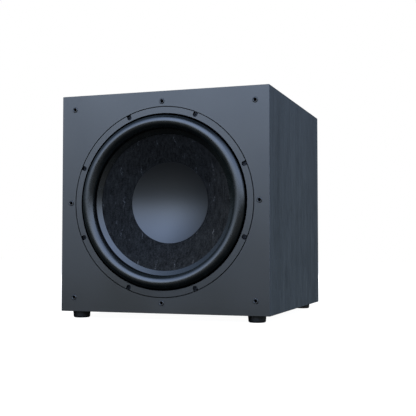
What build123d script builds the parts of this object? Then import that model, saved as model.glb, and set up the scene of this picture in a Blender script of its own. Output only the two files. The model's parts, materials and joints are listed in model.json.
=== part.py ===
"""A powered closed-box subwoofer: a veneered cube with one large driver in front and an amplifier behind.

Millimetres. +Z is up, the driver faces -Y, and the origin is on the floor under the middle of the box.
Depths are measured along +Y from the painted front face. Angles round the driver run from +X to +Z.
"""

from build123d import *
import os
from math import cos, radians, sin, sqrt, tan

# Driving dimensions: cabinet
CABINET_WIDTH = 450.0
CABINET_HEIGHT = 450.0
CABINET_DEPTH = 466.0
FOOT_HEIGHT = 14.0
BAFFLE_THICKNESS = 25.0
INNER_BAFFLE_THICKNESS = 18.0
WALL = 20.0
BRACE_THICKNESS = 18.0
EDGE_CHAMFER = 0.8
EDGE_ROUNDING = 0.6
GLUE_GAP = 0.05

# Driving dimensions: driver
FRAME_RADIUS = 192.4
BOLT_CIRCLE_RADIUS = 187.2
CUTOUT_RADIUS = 178.5
ROLL_RADIUS = 13.3
ROLL_CENTRE_RADIUS = 163.3
ROLL_CENTRE_DEPTH = 3.3
RUBBER = 2.0
CONE_RIM_RADIUS = 151.0
CONE_RIM_DEPTH = 10.0
CONE_NECK_DEPTH = 69.0
CONE_THICKNESS = 1.8
FORMER_RADIUS = 38.4
DUST_CAP_RADIUS = 84.0
DUST_CAP_DISH = 20.0

# Driving dimensions: amplifier
PLATE_WIDTH = 230.0
PLATE_HEIGHT = 290.0
PLATE_THICKNESS = 3.0
ENCLOSURE_DEPTH = 85.0
REAR_REACH = 10.0

# Places worked out from them
FRONT_Y = -CABINET_DEPTH / 2
BACK_Y = CABINET_DEPTH / 2
AXIS_Z = FOOT_HEIGHT + CABINET_HEIGHT / 2
HALF_WIDTH = CABINET_WIDTH / 2
INNER_HALF = HALF_WIDTH - WALL
CARCASS_FRONT_Y = FRONT_Y + BAFFLE_THICKNESS
CHAMBER_FRONT_Y = CARCASS_FRONT_Y + INNER_BAFFLE_THICKNESS
CHAMBER_BACK_Y = BACK_Y - WALL
BRACE_FRONT_Y = 0.0
BRACE_BACK_Y = BRACE_FRONT_Y + BRACE_THICKNESS
PLATE_INNER_Y = BACK_Y - PLATE_THICKNESS
ENCLOSURE_FRONT_Y = PLATE_INNER_Y - ENCLOSURE_DEPTH
KNOB_TIP_Y = BACK_Y + REAR_REACH

SCREW_ANGLES = [22.5 + 45.0 * step for step in range(8)]
SPOKE_ANGLES = [45.0 * step for step in range(8)]
FOOT_X = 191.4
FOOT_FRONT_Y = FRONT_Y + 27.5
FOOT_REAR_Y = BACK_Y - 33.5

# Depths of the layers between the front face and the baffle's rebate
LIP_DEPTH = 4.5
FLANGE_DEPTH = 7.0
GASKET_DEPTH = 11.5
REBATE_DEPTH = 13.0
REBATE_RADIUS = 193.9

# Depths down the driver's motor
SPIDER_OUTER_RADIUS = 102.0
SHELF_DEPTH = 86.0
SHELF_THICKNESS = 5.0
SHELF_INNER_RADIUS = 94.0
SHELF_OUTER_RADIUS = 107.0
MOTOR_SEAT_DEPTH = 104.0
BASKET_BACK_DEPTH = 110.0
TOP_PLATE_THICKNESS = 12.0
MAGNET_THICKNESS = 38.0
BACK_PLATE_THICKNESS = 12.0
POLE_RADIUS = 36.8
MAGNET_RADIUS = 92.0
STEEL_RADIUS = 86.0
MAGNET_DEPTH = BASKET_BACK_DEPTH + TOP_PLATE_THICKNESS
BACK_PLATE_DEPTH = MAGNET_DEPTH + MAGNET_THICKNESS
MOTOR_BACK_DEPTH = BACK_PLATE_DEPTH + BACK_PLATE_THICKNESS

# How far a cutter runs past the face that it cuts
PAST = 1.0


# ---------------------------------------------------------------- shared shapes


def at(depth):
    """World Y of a depth behind the front face."""
    return FRONT_Y + depth


def block(x_span, y_span, z_span):
    """A box between two world values on each axis."""
    spans = (x_span, y_span, z_span)
    sizes = [high - low for low, high in spans]
    middles = [(high + low) / 2 for low, high in spans]
    return Pos(*middles) * Box(*sizes)


def rod(x, z, radius, y_start, y_end):
    """A cylinder that lies along Y."""
    return Pos(x, (y_start + y_end) / 2, z) * Rot(90, 0, 0) * Cylinder(radius, y_end - y_start)


def upright(x, y, radius, z_start, z_end):
    """A cylinder that stands along Z."""
    return Pos(x, y, (z_start + z_end) / 2) * Cylinder(radius, z_end - z_start)


def facing_back(x, y, z):
    """A plane across the driver's axis, to draw on and extrude towards the back."""
    return Plane(origin=(x, y, z), x_dir=(1, 0, 0), z_dir=(0, 1, 0))


def centred(place, width, height, y_span):
    """A box centred on an (x, z) place."""
    x, z = place
    return block((x - width / 2, x + width / 2), y_span, (z - height / 2, z + height / 2))


def rounded_plate(width, height, corner, y_span):
    """A flat plate with rounded corners, centred on the driver's axis."""
    face = facing_back(0, y_span[0], AXIS_Z) * RectangleRounded(width, height, corner)
    return extrude(face, y_span[1] - y_span[0])


def turned(outline):
    """The solid that an outline in radius and world Y makes when it turns about the driver's axis."""
    return Pos(0, 0, AXIS_Z) * revolve(make_face(outline), Axis.Y)


def lathe(points):
    """A turned solid from straight runs between (radius, depth) points."""
    return turned(Polyline(*[(radius, at(depth)) for radius, depth in points], close=True))


def ring(inner, outer, front, back):
    """A flat ring, or a disc where inner is 0, between two depths."""
    return lathe([(inner, front), (outer, front), (outer, back), (inner, back)])


def round_axis(shape, angle):
    """Turns a shape made at angle 0 to another angle round the driver's axis."""
    return Pos(0, 0, AXIS_Z) * Rot(0, -angle, 0) * Pos(0, 0, -AXIS_Z) * shape


def polar(radius, angle):
    """World (x, z) of a point round the driver's axis."""
    return radius * cos(radians(angle)), AXIS_Z + radius * sin(radians(angle))


def swept_tube(points, radius):
    """A tube along straight runs joined by tangent arcs as large as the runs allow."""
    corners = []
    for before, here, after in zip(points, points[1:], points[2:]):
        arriving = Vector(*here) - Vector(*before)
        leaving = Vector(*after) - Vector(*here)
        turn = radians(arriving.get_angle(leaving))
        corners.append(0.45 * min(arriving.length, leaving.length) / tan(turn / 2))
    print("bend radii", [round(corner) for corner in corners])
    path = FilletPolyline(*points, radius=corners)
    profile = Plane(origin=path @ 0, z_dir=path % 0) * Circle(radius)
    tube = sweep(profile, path)
    print("tube volume over section times length", round(tube.volume / (profile.area * path.length), 4))
    return tube


def group(shapes):
    """Separate solids that share one node."""
    return Compound(children=[solid for shape in shapes for solid in shape.solids()])


# ---------------------------------------------------------------- cabinet

CORNER_SOCKET_OFFSET = 196.0
SIDE_SOCKET_OFFSET = 204.0
SOCKET_BORE_RADIUS = 2.3
SOCKET_BORE_DEPTH = 12.0
SOCKET_MOUTH_DEPTH = 0.6
SOCKET_CREST_RADIUS = 4.1
SOCKET_FLANGE_RADIUS = 5.8
SOCKET_FLANGE_SEAT = 1.0
SOCKET_BODY_RADIUS = 4.2
SOCKET_LENGTH = 15.0
SOCKET_PROUD = 1.2
FOOT_BASE_RADIUS = 17.1
FOOT_TOP_RADIUS = 18.2
FOOT_BASE_ROUNDING = 3.2
FOOT_TOP_ROUNDING = 0.6
FOOT_COUNTERBORE_RADIUS = 6.5
FOOT_COUNTERBORE_DEPTH = 6.0
FOOT_SCREW_HEAD_RADIUS = 4.6
FOOT_SCREW_HEAD_HEIGHT = 2.6
FOOT_SCREW_RADIUS = 1.9
FOOT_SCREW_GRIP = 18.0
TEE_NUT_BARREL_RADIUS = 4.0
AMP_CUTOUT = (204.0, 264.0)
AMP_GASKET = 2.0
AMP_SCREW_INSET = 7.0
AMP_SCREW_RADIUS = 1.75
AMP_SCREW_GRIP = 17.0
PLATE_CLEARANCE = 0.5
WINDOW_NEAR = 18.0
WINDOW_MARGIN = 38.0
WINDOW_CORNER = 24.0


def socket_places():
    """World (x, z) of the eight grille-peg sockets: four corners and four mid-sides."""
    corner, side = CORNER_SOCKET_OFFSET, SIDE_SOCKET_OFFSET
    corners = [(sx * corner, sz * corner) for sx in (-1, 1) for sz in (-1, 1)]
    sides = [(-side, 0), (side, 0), (0, -side), (0, side)]
    return [(x, AXIS_Z + z) for x, z in corners + sides]


def foot_places():
    """World (x, y) of each foot."""
    return [(x, y) for x in (-FOOT_X, FOOT_X) for y in (FOOT_FRONT_Y, FOOT_REAR_Y)]


def front_baffle():
    """Painted board with the driver's rebate, its cut-out, and blind holes for the sockets."""
    height_span = (FOOT_HEIGHT, FOOT_HEIGHT + CABINET_HEIGHT)
    board = block((-HALF_WIDTH, HALF_WIDTH), (FRONT_Y, CARCASS_FRONT_Y), height_span)
    board = chamfer(board.edges().filter_by(Axis.Y), EDGE_CHAMFER)
    board = fillet(board.faces().sort_by(Axis.Y)[0].edges(), EDGE_ROUNDING)
    board -= ring(0, REBATE_RADIUS, -PAST, REBATE_DEPTH)
    board -= ring(0, CUTOUT_RADIUS, REBATE_DEPTH - PAST, BAFFLE_THICKNESS + PAST)
    for angle in SCREW_ANGLES:
        x, z = polar(BOLT_CIRCLE_RADIUS, angle)
        board -= rod(x, z, TEE_NUT_BARREL_RADIUS, at(REBATE_DEPTH - PAST), at(BAFFLE_THICKNESS + PAST))
    for x, z in socket_places():
        board -= rod(x, z, SOCKET_BODY_RADIUS + GLUE_GAP, at(-PAST), at(SOCKET_LENGTH + GLUE_GAP))
        board -= rod(x, z, SOCKET_FLANGE_RADIUS + GLUE_GAP, at(-PAST), at(SOCKET_FLANGE_SEAT))
    return board


def inner_board(y_span):
    """A board that fills the carcass between its four walls."""
    return block((-INNER_HALF, INNER_HALF), y_span, (AXIS_Z - INNER_HALF, AXIS_Z + INNER_HALF))


def inner_baffle():
    """Second board behind the front one, inside the carcass, that the tee nuts pull against."""
    board = inner_board((CARCASS_FRONT_Y, CHAMBER_FRONT_Y))
    board -= rod(0, AXIS_Z, CUTOUT_RADIUS, CARCASS_FRONT_Y - PAST, CHAMBER_FRONT_Y + PAST)
    for angle in SCREW_ANGLES:
        x, z = polar(BOLT_CIRCLE_RADIUS, angle)
        board -= rod(x, z, TEE_NUT_BARREL_RADIUS + GLUE_GAP, CARCASS_FRONT_Y - PAST, CHAMBER_FRONT_Y + PAST)
    return board


def carcass_wall(angle):
    """One mitred wall; angle 0 is the right-hand side and 90 the top."""
    half, inner, cut = HALF_WIDTH, INNER_HALF, EDGE_CHAMFER
    section = Polyline(
        (half, -(half - cut)),
        (half, half - cut),
        (half - cut / 2, half - cut / 2),
        (inner, inner),
        (inner, -inner),
        (half - cut / 2, -(half - cut / 2)),
        close=True,
    )
    across = Plane(origin=(0, BACK_Y, AXIS_Z), x_dir=(1, 0, 0), z_dir=(0, -1, 0))
    return extrude(across * (Rot(0, 0, angle) * make_face(section)), CABINET_DEPTH - BAFFLE_THICKNESS)


def bottom_wall():
    """Bottom wall with pilot holes for the feet's screws."""
    wall = carcass_wall(270)
    for x, y in foot_places():
        wall -= upright(x, y, FOOT_SCREW_RADIUS + GLUE_GAP, FOOT_HEIGHT - PAST, FOOT_HEIGHT + FOOT_SCREW_GRIP)
    return wall


def amp_screw_places():
    """World (x, z) of the amplifier's ten plate screws."""
    x_side, z_side = PLATE_WIDTH / 2 - AMP_SCREW_INSET, PLATE_HEIGHT / 2 - AMP_SCREW_INSET
    down_sides = [(sx * x_side, z) for sx in (-1, 1) for z in (-z_side, -z_side / 3, z_side / 3, z_side)]
    ends = [(0, -z_side), (0, z_side)]
    return [(x, AXIS_Z + z) for x, z in down_sides + ends]


def back_panel():
    """Inset rear board with the amplifier's cut-out and a rebate that leaves its plate flush."""
    board = inner_board((CHAMBER_BACK_Y, BACK_Y))
    board -= centred((0, AXIS_Z), *AMP_CUTOUT, (CHAMBER_BACK_Y - PAST, BACK_Y + PAST))
    seat = (PLATE_WIDTH + 2 * PLATE_CLEARANCE, PLATE_HEIGHT + 2 * PLATE_CLEARANCE)
    board -= centred((0, AXIS_Z), *seat, (PLATE_INNER_Y - AMP_GASKET, BACK_Y + PAST))
    for x, z in amp_screw_places():
        board -= rod(x, z, AMP_SCREW_RADIUS + GLUE_GAP, BACK_Y - AMP_SCREW_GRIP - PAST, BACK_Y)
    return board


def window_brace():
    """Cross brace with four rounded windows that ties the walls together half-way back."""
    board = inner_board((BRACE_FRONT_Y, BRACE_BACK_Y))
    near, far = WINDOW_NEAR, INNER_HALF - WINDOW_MARGIN
    cutter = rounded_plate(far - near, far - near, WINDOW_CORNER, (BRACE_FRONT_Y - PAST, BRACE_BACK_Y + PAST))
    middle = (near + far) / 2
    for sx in (-1, 1):
        for sz in (-1, 1):
            board -= Pos(sx * middle, 0, sz * middle) * cutter
    return board


def grille_socket(x, z):
    """Plastic cup with a rounded eyelet rim and a funnel mouth that takes one grille peg."""
    bore, body = SOCKET_BORE_RADIUS, SOCKET_BODY_RADIUS
    crest, flange = SOCKET_CREST_RADIUS, SOCKET_FLANGE_RADIUS
    rim = ThreePointArc(
        (flange, 0),
        (crest + (flange - crest) * cos(radians(45)), -SOCKET_PROUD * sin(radians(45))),
        (crest, -SOCKET_PROUD),
    )
    rest = Polyline(
        (crest, -SOCKET_PROUD),
        (bore, SOCKET_MOUTH_DEPTH),
        (bore, SOCKET_BORE_DEPTH),
        (0, SOCKET_BORE_DEPTH),
        (0, SOCKET_LENGTH),
        (body, SOCKET_LENGTH),
        (body, SOCKET_FLANGE_SEAT),
        (flange, SOCKET_FLANGE_SEAT),
        (flange, 0),
    )
    return Pos(x, FRONT_Y, z) * revolve(make_face(Curve() + [rim, rest]), Axis.Y)


def rubber_foot(x, y):
    """Tapered rubber foot with a counterbore for its screw."""
    outline = FilletPolyline(
        (0, 0),
        (FOOT_BASE_RADIUS, 0),
        (FOOT_TOP_RADIUS, FOOT_HEIGHT),
        (0, FOOT_HEIGHT),
        radius=[FOOT_BASE_ROUNDING, FOOT_TOP_ROUNDING],
    )
    half_section = make_face(outline + Line((0, FOOT_HEIGHT), (0, 0)))
    foot = revolve(Plane.XZ * half_section, Axis.Z)
    foot -= upright(0, 0, FOOT_COUNTERBORE_RADIUS, -PAST, FOOT_COUNTERBORE_DEPTH)
    foot -= upright(0, 0, FOOT_SCREW_RADIUS + GLUE_GAP, 0, FOOT_HEIGHT + PAST)
    return Pos(x, y, 0) * foot


def foot_screw(x, y):
    """Pan-head wood screw that holds one foot."""
    head_base = FOOT_COUNTERBORE_DEPTH - FOOT_SCREW_HEAD_HEIGHT
    head = upright(x, y, FOOT_SCREW_HEAD_RADIUS, head_base, FOOT_COUNTERBORE_DEPTH)
    head = chamfer(head.faces().sort_by(Axis.Z)[0].edges(), 0.8)
    slot_long, slot_wide, slot_deep = 5.0, 1.1, 2.4
    head -= Pos(x, y, head_base) * Box(slot_long, slot_wide, slot_deep)
    head -= Pos(x, y, head_base) * Box(slot_wide, slot_long, slot_deep)
    tip_z = FOOT_HEIGHT + FOOT_SCREW_GRIP - 1
    return head + upright(x, y, FOOT_SCREW_RADIUS, FOOT_COUNTERBORE_DEPTH, tip_z)


# ---------------------------------------------------------------- driver: frame and hardware

NOTCH_RADIUS = 4.8
NOTCH_RUN_OUT = 12.0
TRIM_STEP_RADIUS = 182.2
TRIM_INNER_EASE = 0.7
TRIM_OUTER_EASE = 0.4
FRAME_WALL_RADIUS = 175.5
FRAME_WALL_THICKNESS = 5.5
FRAME_WALL_DEPTH = 30.0
FRAME_LIP_RADIUS = 172.0
SPOKE_HALF_WIDTH = 8.0
SEAT_INNER_RADIUS = 46.0
SEAT_OUTER_RADIUS = 88.0
SCREW_HEAD_RADIUS = 4.25
SCREW_HEAD_HEIGHT = 3.5
SCREW_SHANK_RADIUS = 2.5
SCREW_END_DEPTH = 44.0
SCREW_KEY_RADIUS = 2.3
TEE_NUT_FLANGE_RADIUS = 8.0
TEE_NUT_FLANGE = 1.5
TEE_NUT_LENGTH = 12.0
TRIM_INNER_RADIUS = 179.0
TRIM_OUTER_RADIUS = 192.9
LUG_ANGLE = 67.5
LUG_RADIUS = 117.0
LUG_DEPTH = 88.0
LUG_THICKNESS = 3.0
LUG_HALF_WIDTH = 15.0
STRIP_THICKNESS = 2.0
POST_OFFSET = 8.0
POST_COLLAR_RADIUS = 5.0
POST_COLLAR_DEPTH = LUG_DEPTH + LUG_THICKNESS + STRIP_THICKNESS
POST_RADIUS = 3.6
POST_LENGTH = 15.0
TAIL_RADIUS = 2.0
TAIL_DEPTH = LUG_DEPTH - 3.0


def trim_ring():
    """Painted ring that hides the frame's edge, notched to reach each screw."""
    body = lathe(
        [
            (TRIM_INNER_RADIUS, TRIM_INNER_EASE),
            (TRIM_INNER_RADIUS + TRIM_INNER_EASE, 0),
            (TRIM_OUTER_RADIUS - TRIM_OUTER_EASE, 0),
            (TRIM_OUTER_RADIUS, TRIM_OUTER_EASE),
            (TRIM_OUTER_RADIUS, FLANGE_DEPTH),
            (TRIM_STEP_RADIUS, FLANGE_DEPTH),
            (TRIM_STEP_RADIUS, LIP_DEPTH),
            (TRIM_INNER_RADIUS, LIP_DEPTH),
        ]
    )
    x, z = polar(BOLT_CIRCLE_RADIUS, 0)
    depth_span = (at(-PAST), at(FLANGE_DEPTH + PAST))
    notch = rod(x, z, NOTCH_RADIUS, *depth_span)
    notch += block((x, x + NOTCH_RUN_OUT), depth_span, (z - NOTCH_RADIUS, z + NOTCH_RADIUS))
    for angle in SCREW_ANGLES:
        body -= round_axis(notch, angle)
    return body


def basket_spoke():
    """One cast arm from the frame's wall down to the motor."""
    root_radius = FRAME_WALL_RADIUS - 0.1
    points = [
        (root_radius, 20),
        (root_radius, 34),
        (90, BASKET_BACK_DEPTH),
        (60, BASKET_BACK_DEPTH),
        (60, MOTOR_SEAT_DEPTH),
        (84, MOTOR_SEAT_DEPTH),
        (99, 90),
        (104, SHELF_DEPTH),
        (165, 34),
        (root_radius - 5, 20),
    ]
    side = make_face(Polyline(*[(radius, at(depth)) for radius, depth in points], close=True))
    return Pos(0, 0, AXIS_Z) * extrude(side, SPOKE_HALF_WIDTH, both=True)


def driver_basket():
    """Cast frame: flange, wall, eight arms, spider shelf and motor seat, with a lug for the terminals."""
    frame = lathe(
        [
            (FRAME_LIP_RADIUS, FLANGE_DEPTH),
            (FRAME_RADIUS, FLANGE_DEPTH),
            (FRAME_RADIUS, GASKET_DEPTH),
            (FRAME_WALL_RADIUS, GASKET_DEPTH),
            (FRAME_WALL_RADIUS, FRAME_WALL_DEPTH),
            (FRAME_WALL_RADIUS - FRAME_WALL_THICKNESS, FRAME_WALL_DEPTH),
            (FRAME_WALL_RADIUS - FRAME_WALL_THICKNESS, GASKET_DEPTH + 0.5),
        ]
    )
    frame += ring(SHELF_INNER_RADIUS, SHELF_OUTER_RADIUS, SHELF_DEPTH, SHELF_DEPTH + SHELF_THICKNESS)
    frame += ring(SEAT_INNER_RADIUS, SEAT_OUTER_RADIUS, MOTOR_SEAT_DEPTH, BASKET_BACK_DEPTH)
    for angle in SPOKE_ANGLES:
        frame += round_axis(basket_spoke(), angle)
    lug_reach = (LUG_RADIUS - 14, LUG_RADIUS + 11)
    lug_width = (AXIS_Z - LUG_HALF_WIDTH, AXIS_Z + LUG_HALF_WIDTH)
    lug = block(lug_reach, (at(LUG_DEPTH), at(LUG_DEPTH + LUG_THICKNESS)), lug_width)
    past_lug = (at(LUG_DEPTH - PAST), at(LUG_DEPTH + LUG_THICKNESS + PAST))
    for side in (-1, 1):
        lug -= rod(LUG_RADIUS, AXIS_Z + side * POST_OFFSET, TAIL_RADIUS + 1.2, *past_lug)
    frame += round_axis(lug, LUG_ANGLE)
    for angle in SCREW_ANGLES:
        x, z = polar(BOLT_CIRCLE_RADIUS, angle)
        frame -= rod(x, z, SCREW_SHANK_RADIUS + 0.3, at(FLANGE_DEPTH - PAST), at(GASKET_DEPTH + PAST))
    return frame


def driver_gasket():
    """Foam ring between the frame's flange and the rebate."""
    seal = ring(CUTOUT_RADIUS + 0.5, FRAME_RADIUS, GASKET_DEPTH, REBATE_DEPTH)
    for angle in SCREW_ANGLES:
        x, z = polar(BOLT_CIRCLE_RADIUS, angle)
        seal -= rod(x, z, SCREW_SHANK_RADIUS + 0.5, at(GASKET_DEPTH - PAST), at(REBATE_DEPTH + PAST))
    return seal


def driver_screw(angle):
    """Low-headed socket screw through the flange."""
    x, z = polar(BOLT_CIRCLE_RADIUS, angle)
    head_top = at(FLANGE_DEPTH - SCREW_HEAD_HEIGHT)
    head = rod(x, z, SCREW_HEAD_RADIUS, head_top, at(FLANGE_DEPTH))
    head = chamfer(head.faces().sort_by(Axis.Y)[0].edges(), 0.5)
    key_depth = 2.0
    key = facing_back(x, head_top - PAST, z) * RegularPolygon(SCREW_KEY_RADIUS, 6)
    head -= extrude(key, key_depth + PAST)
    return head + rod(x, z, SCREW_SHANK_RADIUS, at(FLANGE_DEPTH), at(SCREW_END_DEPTH))


def tee_nut(angle):
    """Pressed tee nut at the back of the inner baffle."""
    x, z = polar(BOLT_CIRCLE_RADIUS, angle)
    seat = CHAMBER_FRONT_Y
    nut = rod(x, z, TEE_NUT_BARREL_RADIUS, seat - TEE_NUT_LENGTH, seat)
    nut += rod(x, z, TEE_NUT_FLANGE_RADIUS, seat, seat + TEE_NUT_FLANGE)
    past_nut = (seat - TEE_NUT_LENGTH - PAST, seat + TEE_NUT_FLANGE + PAST)
    return nut - rod(x, z, SCREW_SHANK_RADIUS + 0.1, *past_nut)


def terminal_board():
    """Insulating strip on the frame's lug."""
    front = LUG_DEPTH + LUG_THICKNESS
    back = front + STRIP_THICKNESS
    strip = block((LUG_RADIUS - 8, LUG_RADIUS + 9), (at(front), at(back)), (AXIS_Z - 14, AXIS_Z + 14))
    past_strip = (at(front - PAST), at(back + PAST))
    for side in (-1, 1):
        strip -= rod(LUG_RADIUS, AXIS_Z + side * POST_OFFSET, TAIL_RADIUS + 0.2, *past_strip)
    return round_axis(strip, LUG_ANGLE)


def terminal_post(side):
    """Sprung wire post with its solder tail through the board."""
    z = AXIS_Z + side * POST_OFFSET
    collar_back = POST_COLLAR_DEPTH + 3
    post = rod(LUG_RADIUS, z, POST_COLLAR_RADIUS, at(POST_COLLAR_DEPTH), at(collar_back))
    post += rod(LUG_RADIUS, z, POST_RADIUS, at(collar_back), at(POST_COLLAR_DEPTH + POST_LENGTH))
    post += rod(LUG_RADIUS, z, TAIL_RADIUS, at(TAIL_DEPTH), at(POST_COLLAR_DEPTH))
    return round_axis(post, LUG_ANGLE)


# ---------------------------------------------------------------- driver: moving and flexing parts

CONE_SLOPE = (CONE_NECK_DEPTH - CONE_RIM_DEPTH) / (CONE_RIM_RADIUS - FORMER_RADIUS)
BAND_INNER_RADIUS = 139.5
BAND_THICKNESS = 1.5
LIP_OUTER_RADIUS = 182.0
CAP_THICKNESS = 1.2
SPIDER_WAVES = 6
SPIDER_WAVE_HEIGHT = 2.2
SPIDER_CLOTH = 0.8
SPIDER_COLLAR = 6.0
FORMER_SKIN = 0.6
FORMER_BACK_DEPTH = 136.0
WINDING_THICKNESS = 2.2
WINDING_FRONT = 100.0
WINDING_LENGTH = 32.0
TINSEL_RADIUS = 1.0
TINSEL_DEPTH = 76.0


def cone_depth(radius):
    """Depth of the cone's front surface at a radius."""
    return CONE_RIM_DEPTH + (CONE_RIM_RADIUS - radius) * CONE_SLOPE


def surround():
    """Rubber half roll: a lip under the trim ring, the roll, and a band glued to the cone's edge."""
    centre_r, centre_y = ROLL_CENTRE_RADIUS, at(ROLL_CENTRE_DEPTH)
    outer, inner = ROLL_RADIUS, ROLL_RADIUS - RUBBER
    rim_top = cone_depth(CONE_RIM_RADIUS) - BAND_THICKNESS
    band_top = cone_depth(BAND_INNER_RADIUS) - BAND_THICKNESS
    gap = GLUE_GAP
    outline = [
        ThreePointArc(
            (centre_r - outer, centre_y),
            (centre_r, centre_y - outer),
            (centre_r + outer, centre_y),
        ),
        Polyline(
            (centre_r + outer, centre_y),
            (centre_r + outer, at(LIP_DEPTH)),
            (LIP_OUTER_RADIUS, at(LIP_DEPTH)),
            (LIP_OUTER_RADIUS, at(FLANGE_DEPTH)),
            (centre_r + inner, at(FLANGE_DEPTH)),
            (centre_r + inner, centre_y),
        ),
        ThreePointArc(
            (centre_r + inner, centre_y),
            (centre_r, centre_y - inner),
            (centre_r - inner, centre_y),
        ),
        Polyline(
            (centre_r - inner, centre_y),
            (centre_r - inner, at(CONE_RIM_DEPTH)),
            (CONE_RIM_RADIUS, at(CONE_RIM_DEPTH - gap)),
            (BAND_INNER_RADIUS, at(cone_depth(BAND_INNER_RADIUS) - gap)),
            (BAND_INNER_RADIUS, at(band_top)),
            (centre_r - outer - 0.6, at(rim_top - 0.6)),
            (centre_r - outer, at(rim_top - 2.2)),
            (centre_r - outer, centre_y),
        ),
    ]
    return turned(Curve() + outline)


def cone():
    """Stiff shallow cone from the surround down to the coil's former."""
    neck = FORMER_RADIUS + GLUE_GAP
    return lathe(
        [
            (CONE_RIM_RADIUS, CONE_RIM_DEPTH),
            (CONE_RIM_RADIUS, CONE_RIM_DEPTH + CONE_THICKNESS),
            (neck, cone_depth(neck) + CONE_THICKNESS),
            (neck, cone_depth(neck)),
        ]
    )


def dust_cap():
    """Inward-dished cap glued to the cone by its rim."""
    thickness, chord, sag = CAP_THICKNESS, DUST_CAP_RADIUS, DUST_CAP_DISH
    rim = cone_depth(chord) - thickness - 2 * GLUE_GAP
    dish_radius = (chord**2 + sag**2) / (2 * sag)
    half_chord = chord / 2
    half_sag = sag - (dish_radius - sqrt(dish_radius**2 - half_chord**2))
    front = ThreePointArc((chord, at(rim)), (half_chord, at(rim + half_sag)), (0, at(rim + sag)))
    back = ThreePointArc(
        (0, at(rim + sag + thickness)),
        (half_chord, at(rim + half_sag + thickness)),
        (chord, at(rim + thickness)),
    )
    middle = Line((0, at(rim + sag)), (0, at(rim + sag + thickness)))
    edge = Line((chord, at(rim + thickness)), (chord, at(rim)))
    return turned(Curve() + [front, middle, back, edge])


def spider():
    """Corrugated cloth disc that centres the coil."""
    inner = FORMER_RADIUS + GLUE_GAP
    wave_start, wave_end = inner + SPIDER_COLLAR, SHELF_INNER_RADIUS
    half_waves = 2 * SPIDER_WAVES
    half_wave = (wave_end - wave_start) / half_waves
    profile = [(inner, 0), (wave_start, 0)]
    for step in range(half_waves):
        profile.append((wave_start + (step + 0.5) * half_wave, SPIDER_WAVE_HEIGHT * (-1) ** step))
    profile += [(wave_end, 0), (SPIDER_OUTER_RADIUS, 0)]
    depth = SHELF_DEPTH - SPIDER_CLOTH
    front = [(radius, depth + offset) for radius, offset in profile]
    back = [(radius, SHELF_DEPTH + offset) for radius, offset in reversed(profile)]
    return lathe(front + back)


def coil_former():
    """Thin tube that joins the cone to the winding."""
    return ring(FORMER_RADIUS - FORMER_SKIN, FORMER_RADIUS, CONE_NECK_DEPTH - 4, FORMER_BACK_DEPTH)


def coil_winding():
    """Copper winding on the former."""
    outer = FORMER_RADIUS + WINDING_THICKNESS
    return ring(FORMER_RADIUS + GLUE_GAP, outer, WINDING_FRONT, WINDING_FRONT + WINDING_LENGTH)


def tinsel_lead(side):
    """Braided lead from a post's tail across to the former, in front of the spider."""
    z = side * POST_OFFSET
    lead_y = at(TINSEL_DEPTH)
    former_edge = FORMER_RADIUS + 0.4
    route = [(LUG_RADIUS, at(TAIL_DEPTH), z), (LUG_RADIUS, lead_y, z), (former_edge, lead_y, z)]
    path = FilletPolyline(*route, radius=5)
    profile = Plane(origin=path @ 0, z_dir=path % 0) * Circle(TINSEL_RADIUS)
    return round_axis(Pos(0, 0, AXIS_Z) * sweep(profile, path), LUG_ANGLE)


# ---------------------------------------------------------------- driver: motor


GAP_OUTER_RADIUS = 42.2
MAGNET_BORE_RADIUS = 52.0
VENT_RADIUS = 12.0
BOOT_THICKNESS = 2.5


def top_plate():
    """Front steel plate with the gap's outer wall."""
    return ring(GAP_OUTER_RADIUS, STEEL_RADIUS, BASKET_BACK_DEPTH, MAGNET_DEPTH)


def ferrite_magnet():
    """Ring magnet."""
    return ring(MAGNET_BORE_RADIUS, MAGNET_RADIUS, MAGNET_DEPTH, BACK_PLATE_DEPTH)


def pole_and_back_plate():
    """Steel back plate with the vented pole piece in one forging."""
    return lathe(
        [
            (VENT_RADIUS, BASKET_BACK_DEPTH),
            (POLE_RADIUS, BASKET_BACK_DEPTH),
            (POLE_RADIUS, BACK_PLATE_DEPTH),
            (STEEL_RADIUS, BACK_PLATE_DEPTH),
            (STEEL_RADIUS, MOTOR_BACK_DEPTH - 4),
            (STEEL_RADIUS - 4, MOTOR_BACK_DEPTH),
            (VENT_RADIUS + 6, MOTOR_BACK_DEPTH),
            (VENT_RADIUS, MOTOR_BACK_DEPTH - 6),
        ]
    )


def magnet_boot():
    """Rubber sleeve round the magnet."""
    inner = MAGNET_RADIUS + 2 * GLUE_GAP
    outer = inner + BOOT_THICKNESS
    turn_in = STEEL_RADIUS + 0.5
    return lathe(
        [
            (inner, MAGNET_DEPTH),
            (outer, MAGNET_DEPTH),
            (outer, MOTOR_BACK_DEPTH - 2),
            (outer - 2, MOTOR_BACK_DEPTH),
            (turn_in, MOTOR_BACK_DEPTH),
            (turn_in, BACK_PLATE_DEPTH + 1),
            (inner, BACK_PLATE_DEPTH + 1),
        ]
    )


# ---------------------------------------------------------------- damping

BATT_THICKNESS = 21.5
BATT_GAP = 0.5
BATT_MARGIN = 2.0
BATT_SPAN_Y = (BRACE_BACK_Y + BATT_MARGIN, CHAMBER_BACK_Y - BATT_MARGIN)
BATT_INNER = INNER_HALF - BATT_GAP - BATT_THICKNESS


def side_batt(side):
    """Wadding on a side wall of the rear chamber."""
    reach = INNER_HALF - BATT_MARGIN
    across = sorted((side * (INNER_HALF - BATT_GAP), side * BATT_INNER))
    return block(across, BATT_SPAN_Y, (AXIS_Z - reach, AXIS_Z + reach))


def level_batt(side):
    """Wadding under the top or on the bottom of the rear chamber, between the side batts."""
    reach = BATT_INNER - BATT_MARGIN
    up = sorted((AXIS_Z + side * (INNER_HALF - BATT_GAP), AXIS_Z + side * BATT_INNER))
    return block((-reach, reach), BATT_SPAN_Y, up)


# ---------------------------------------------------------------- amplifier

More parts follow.
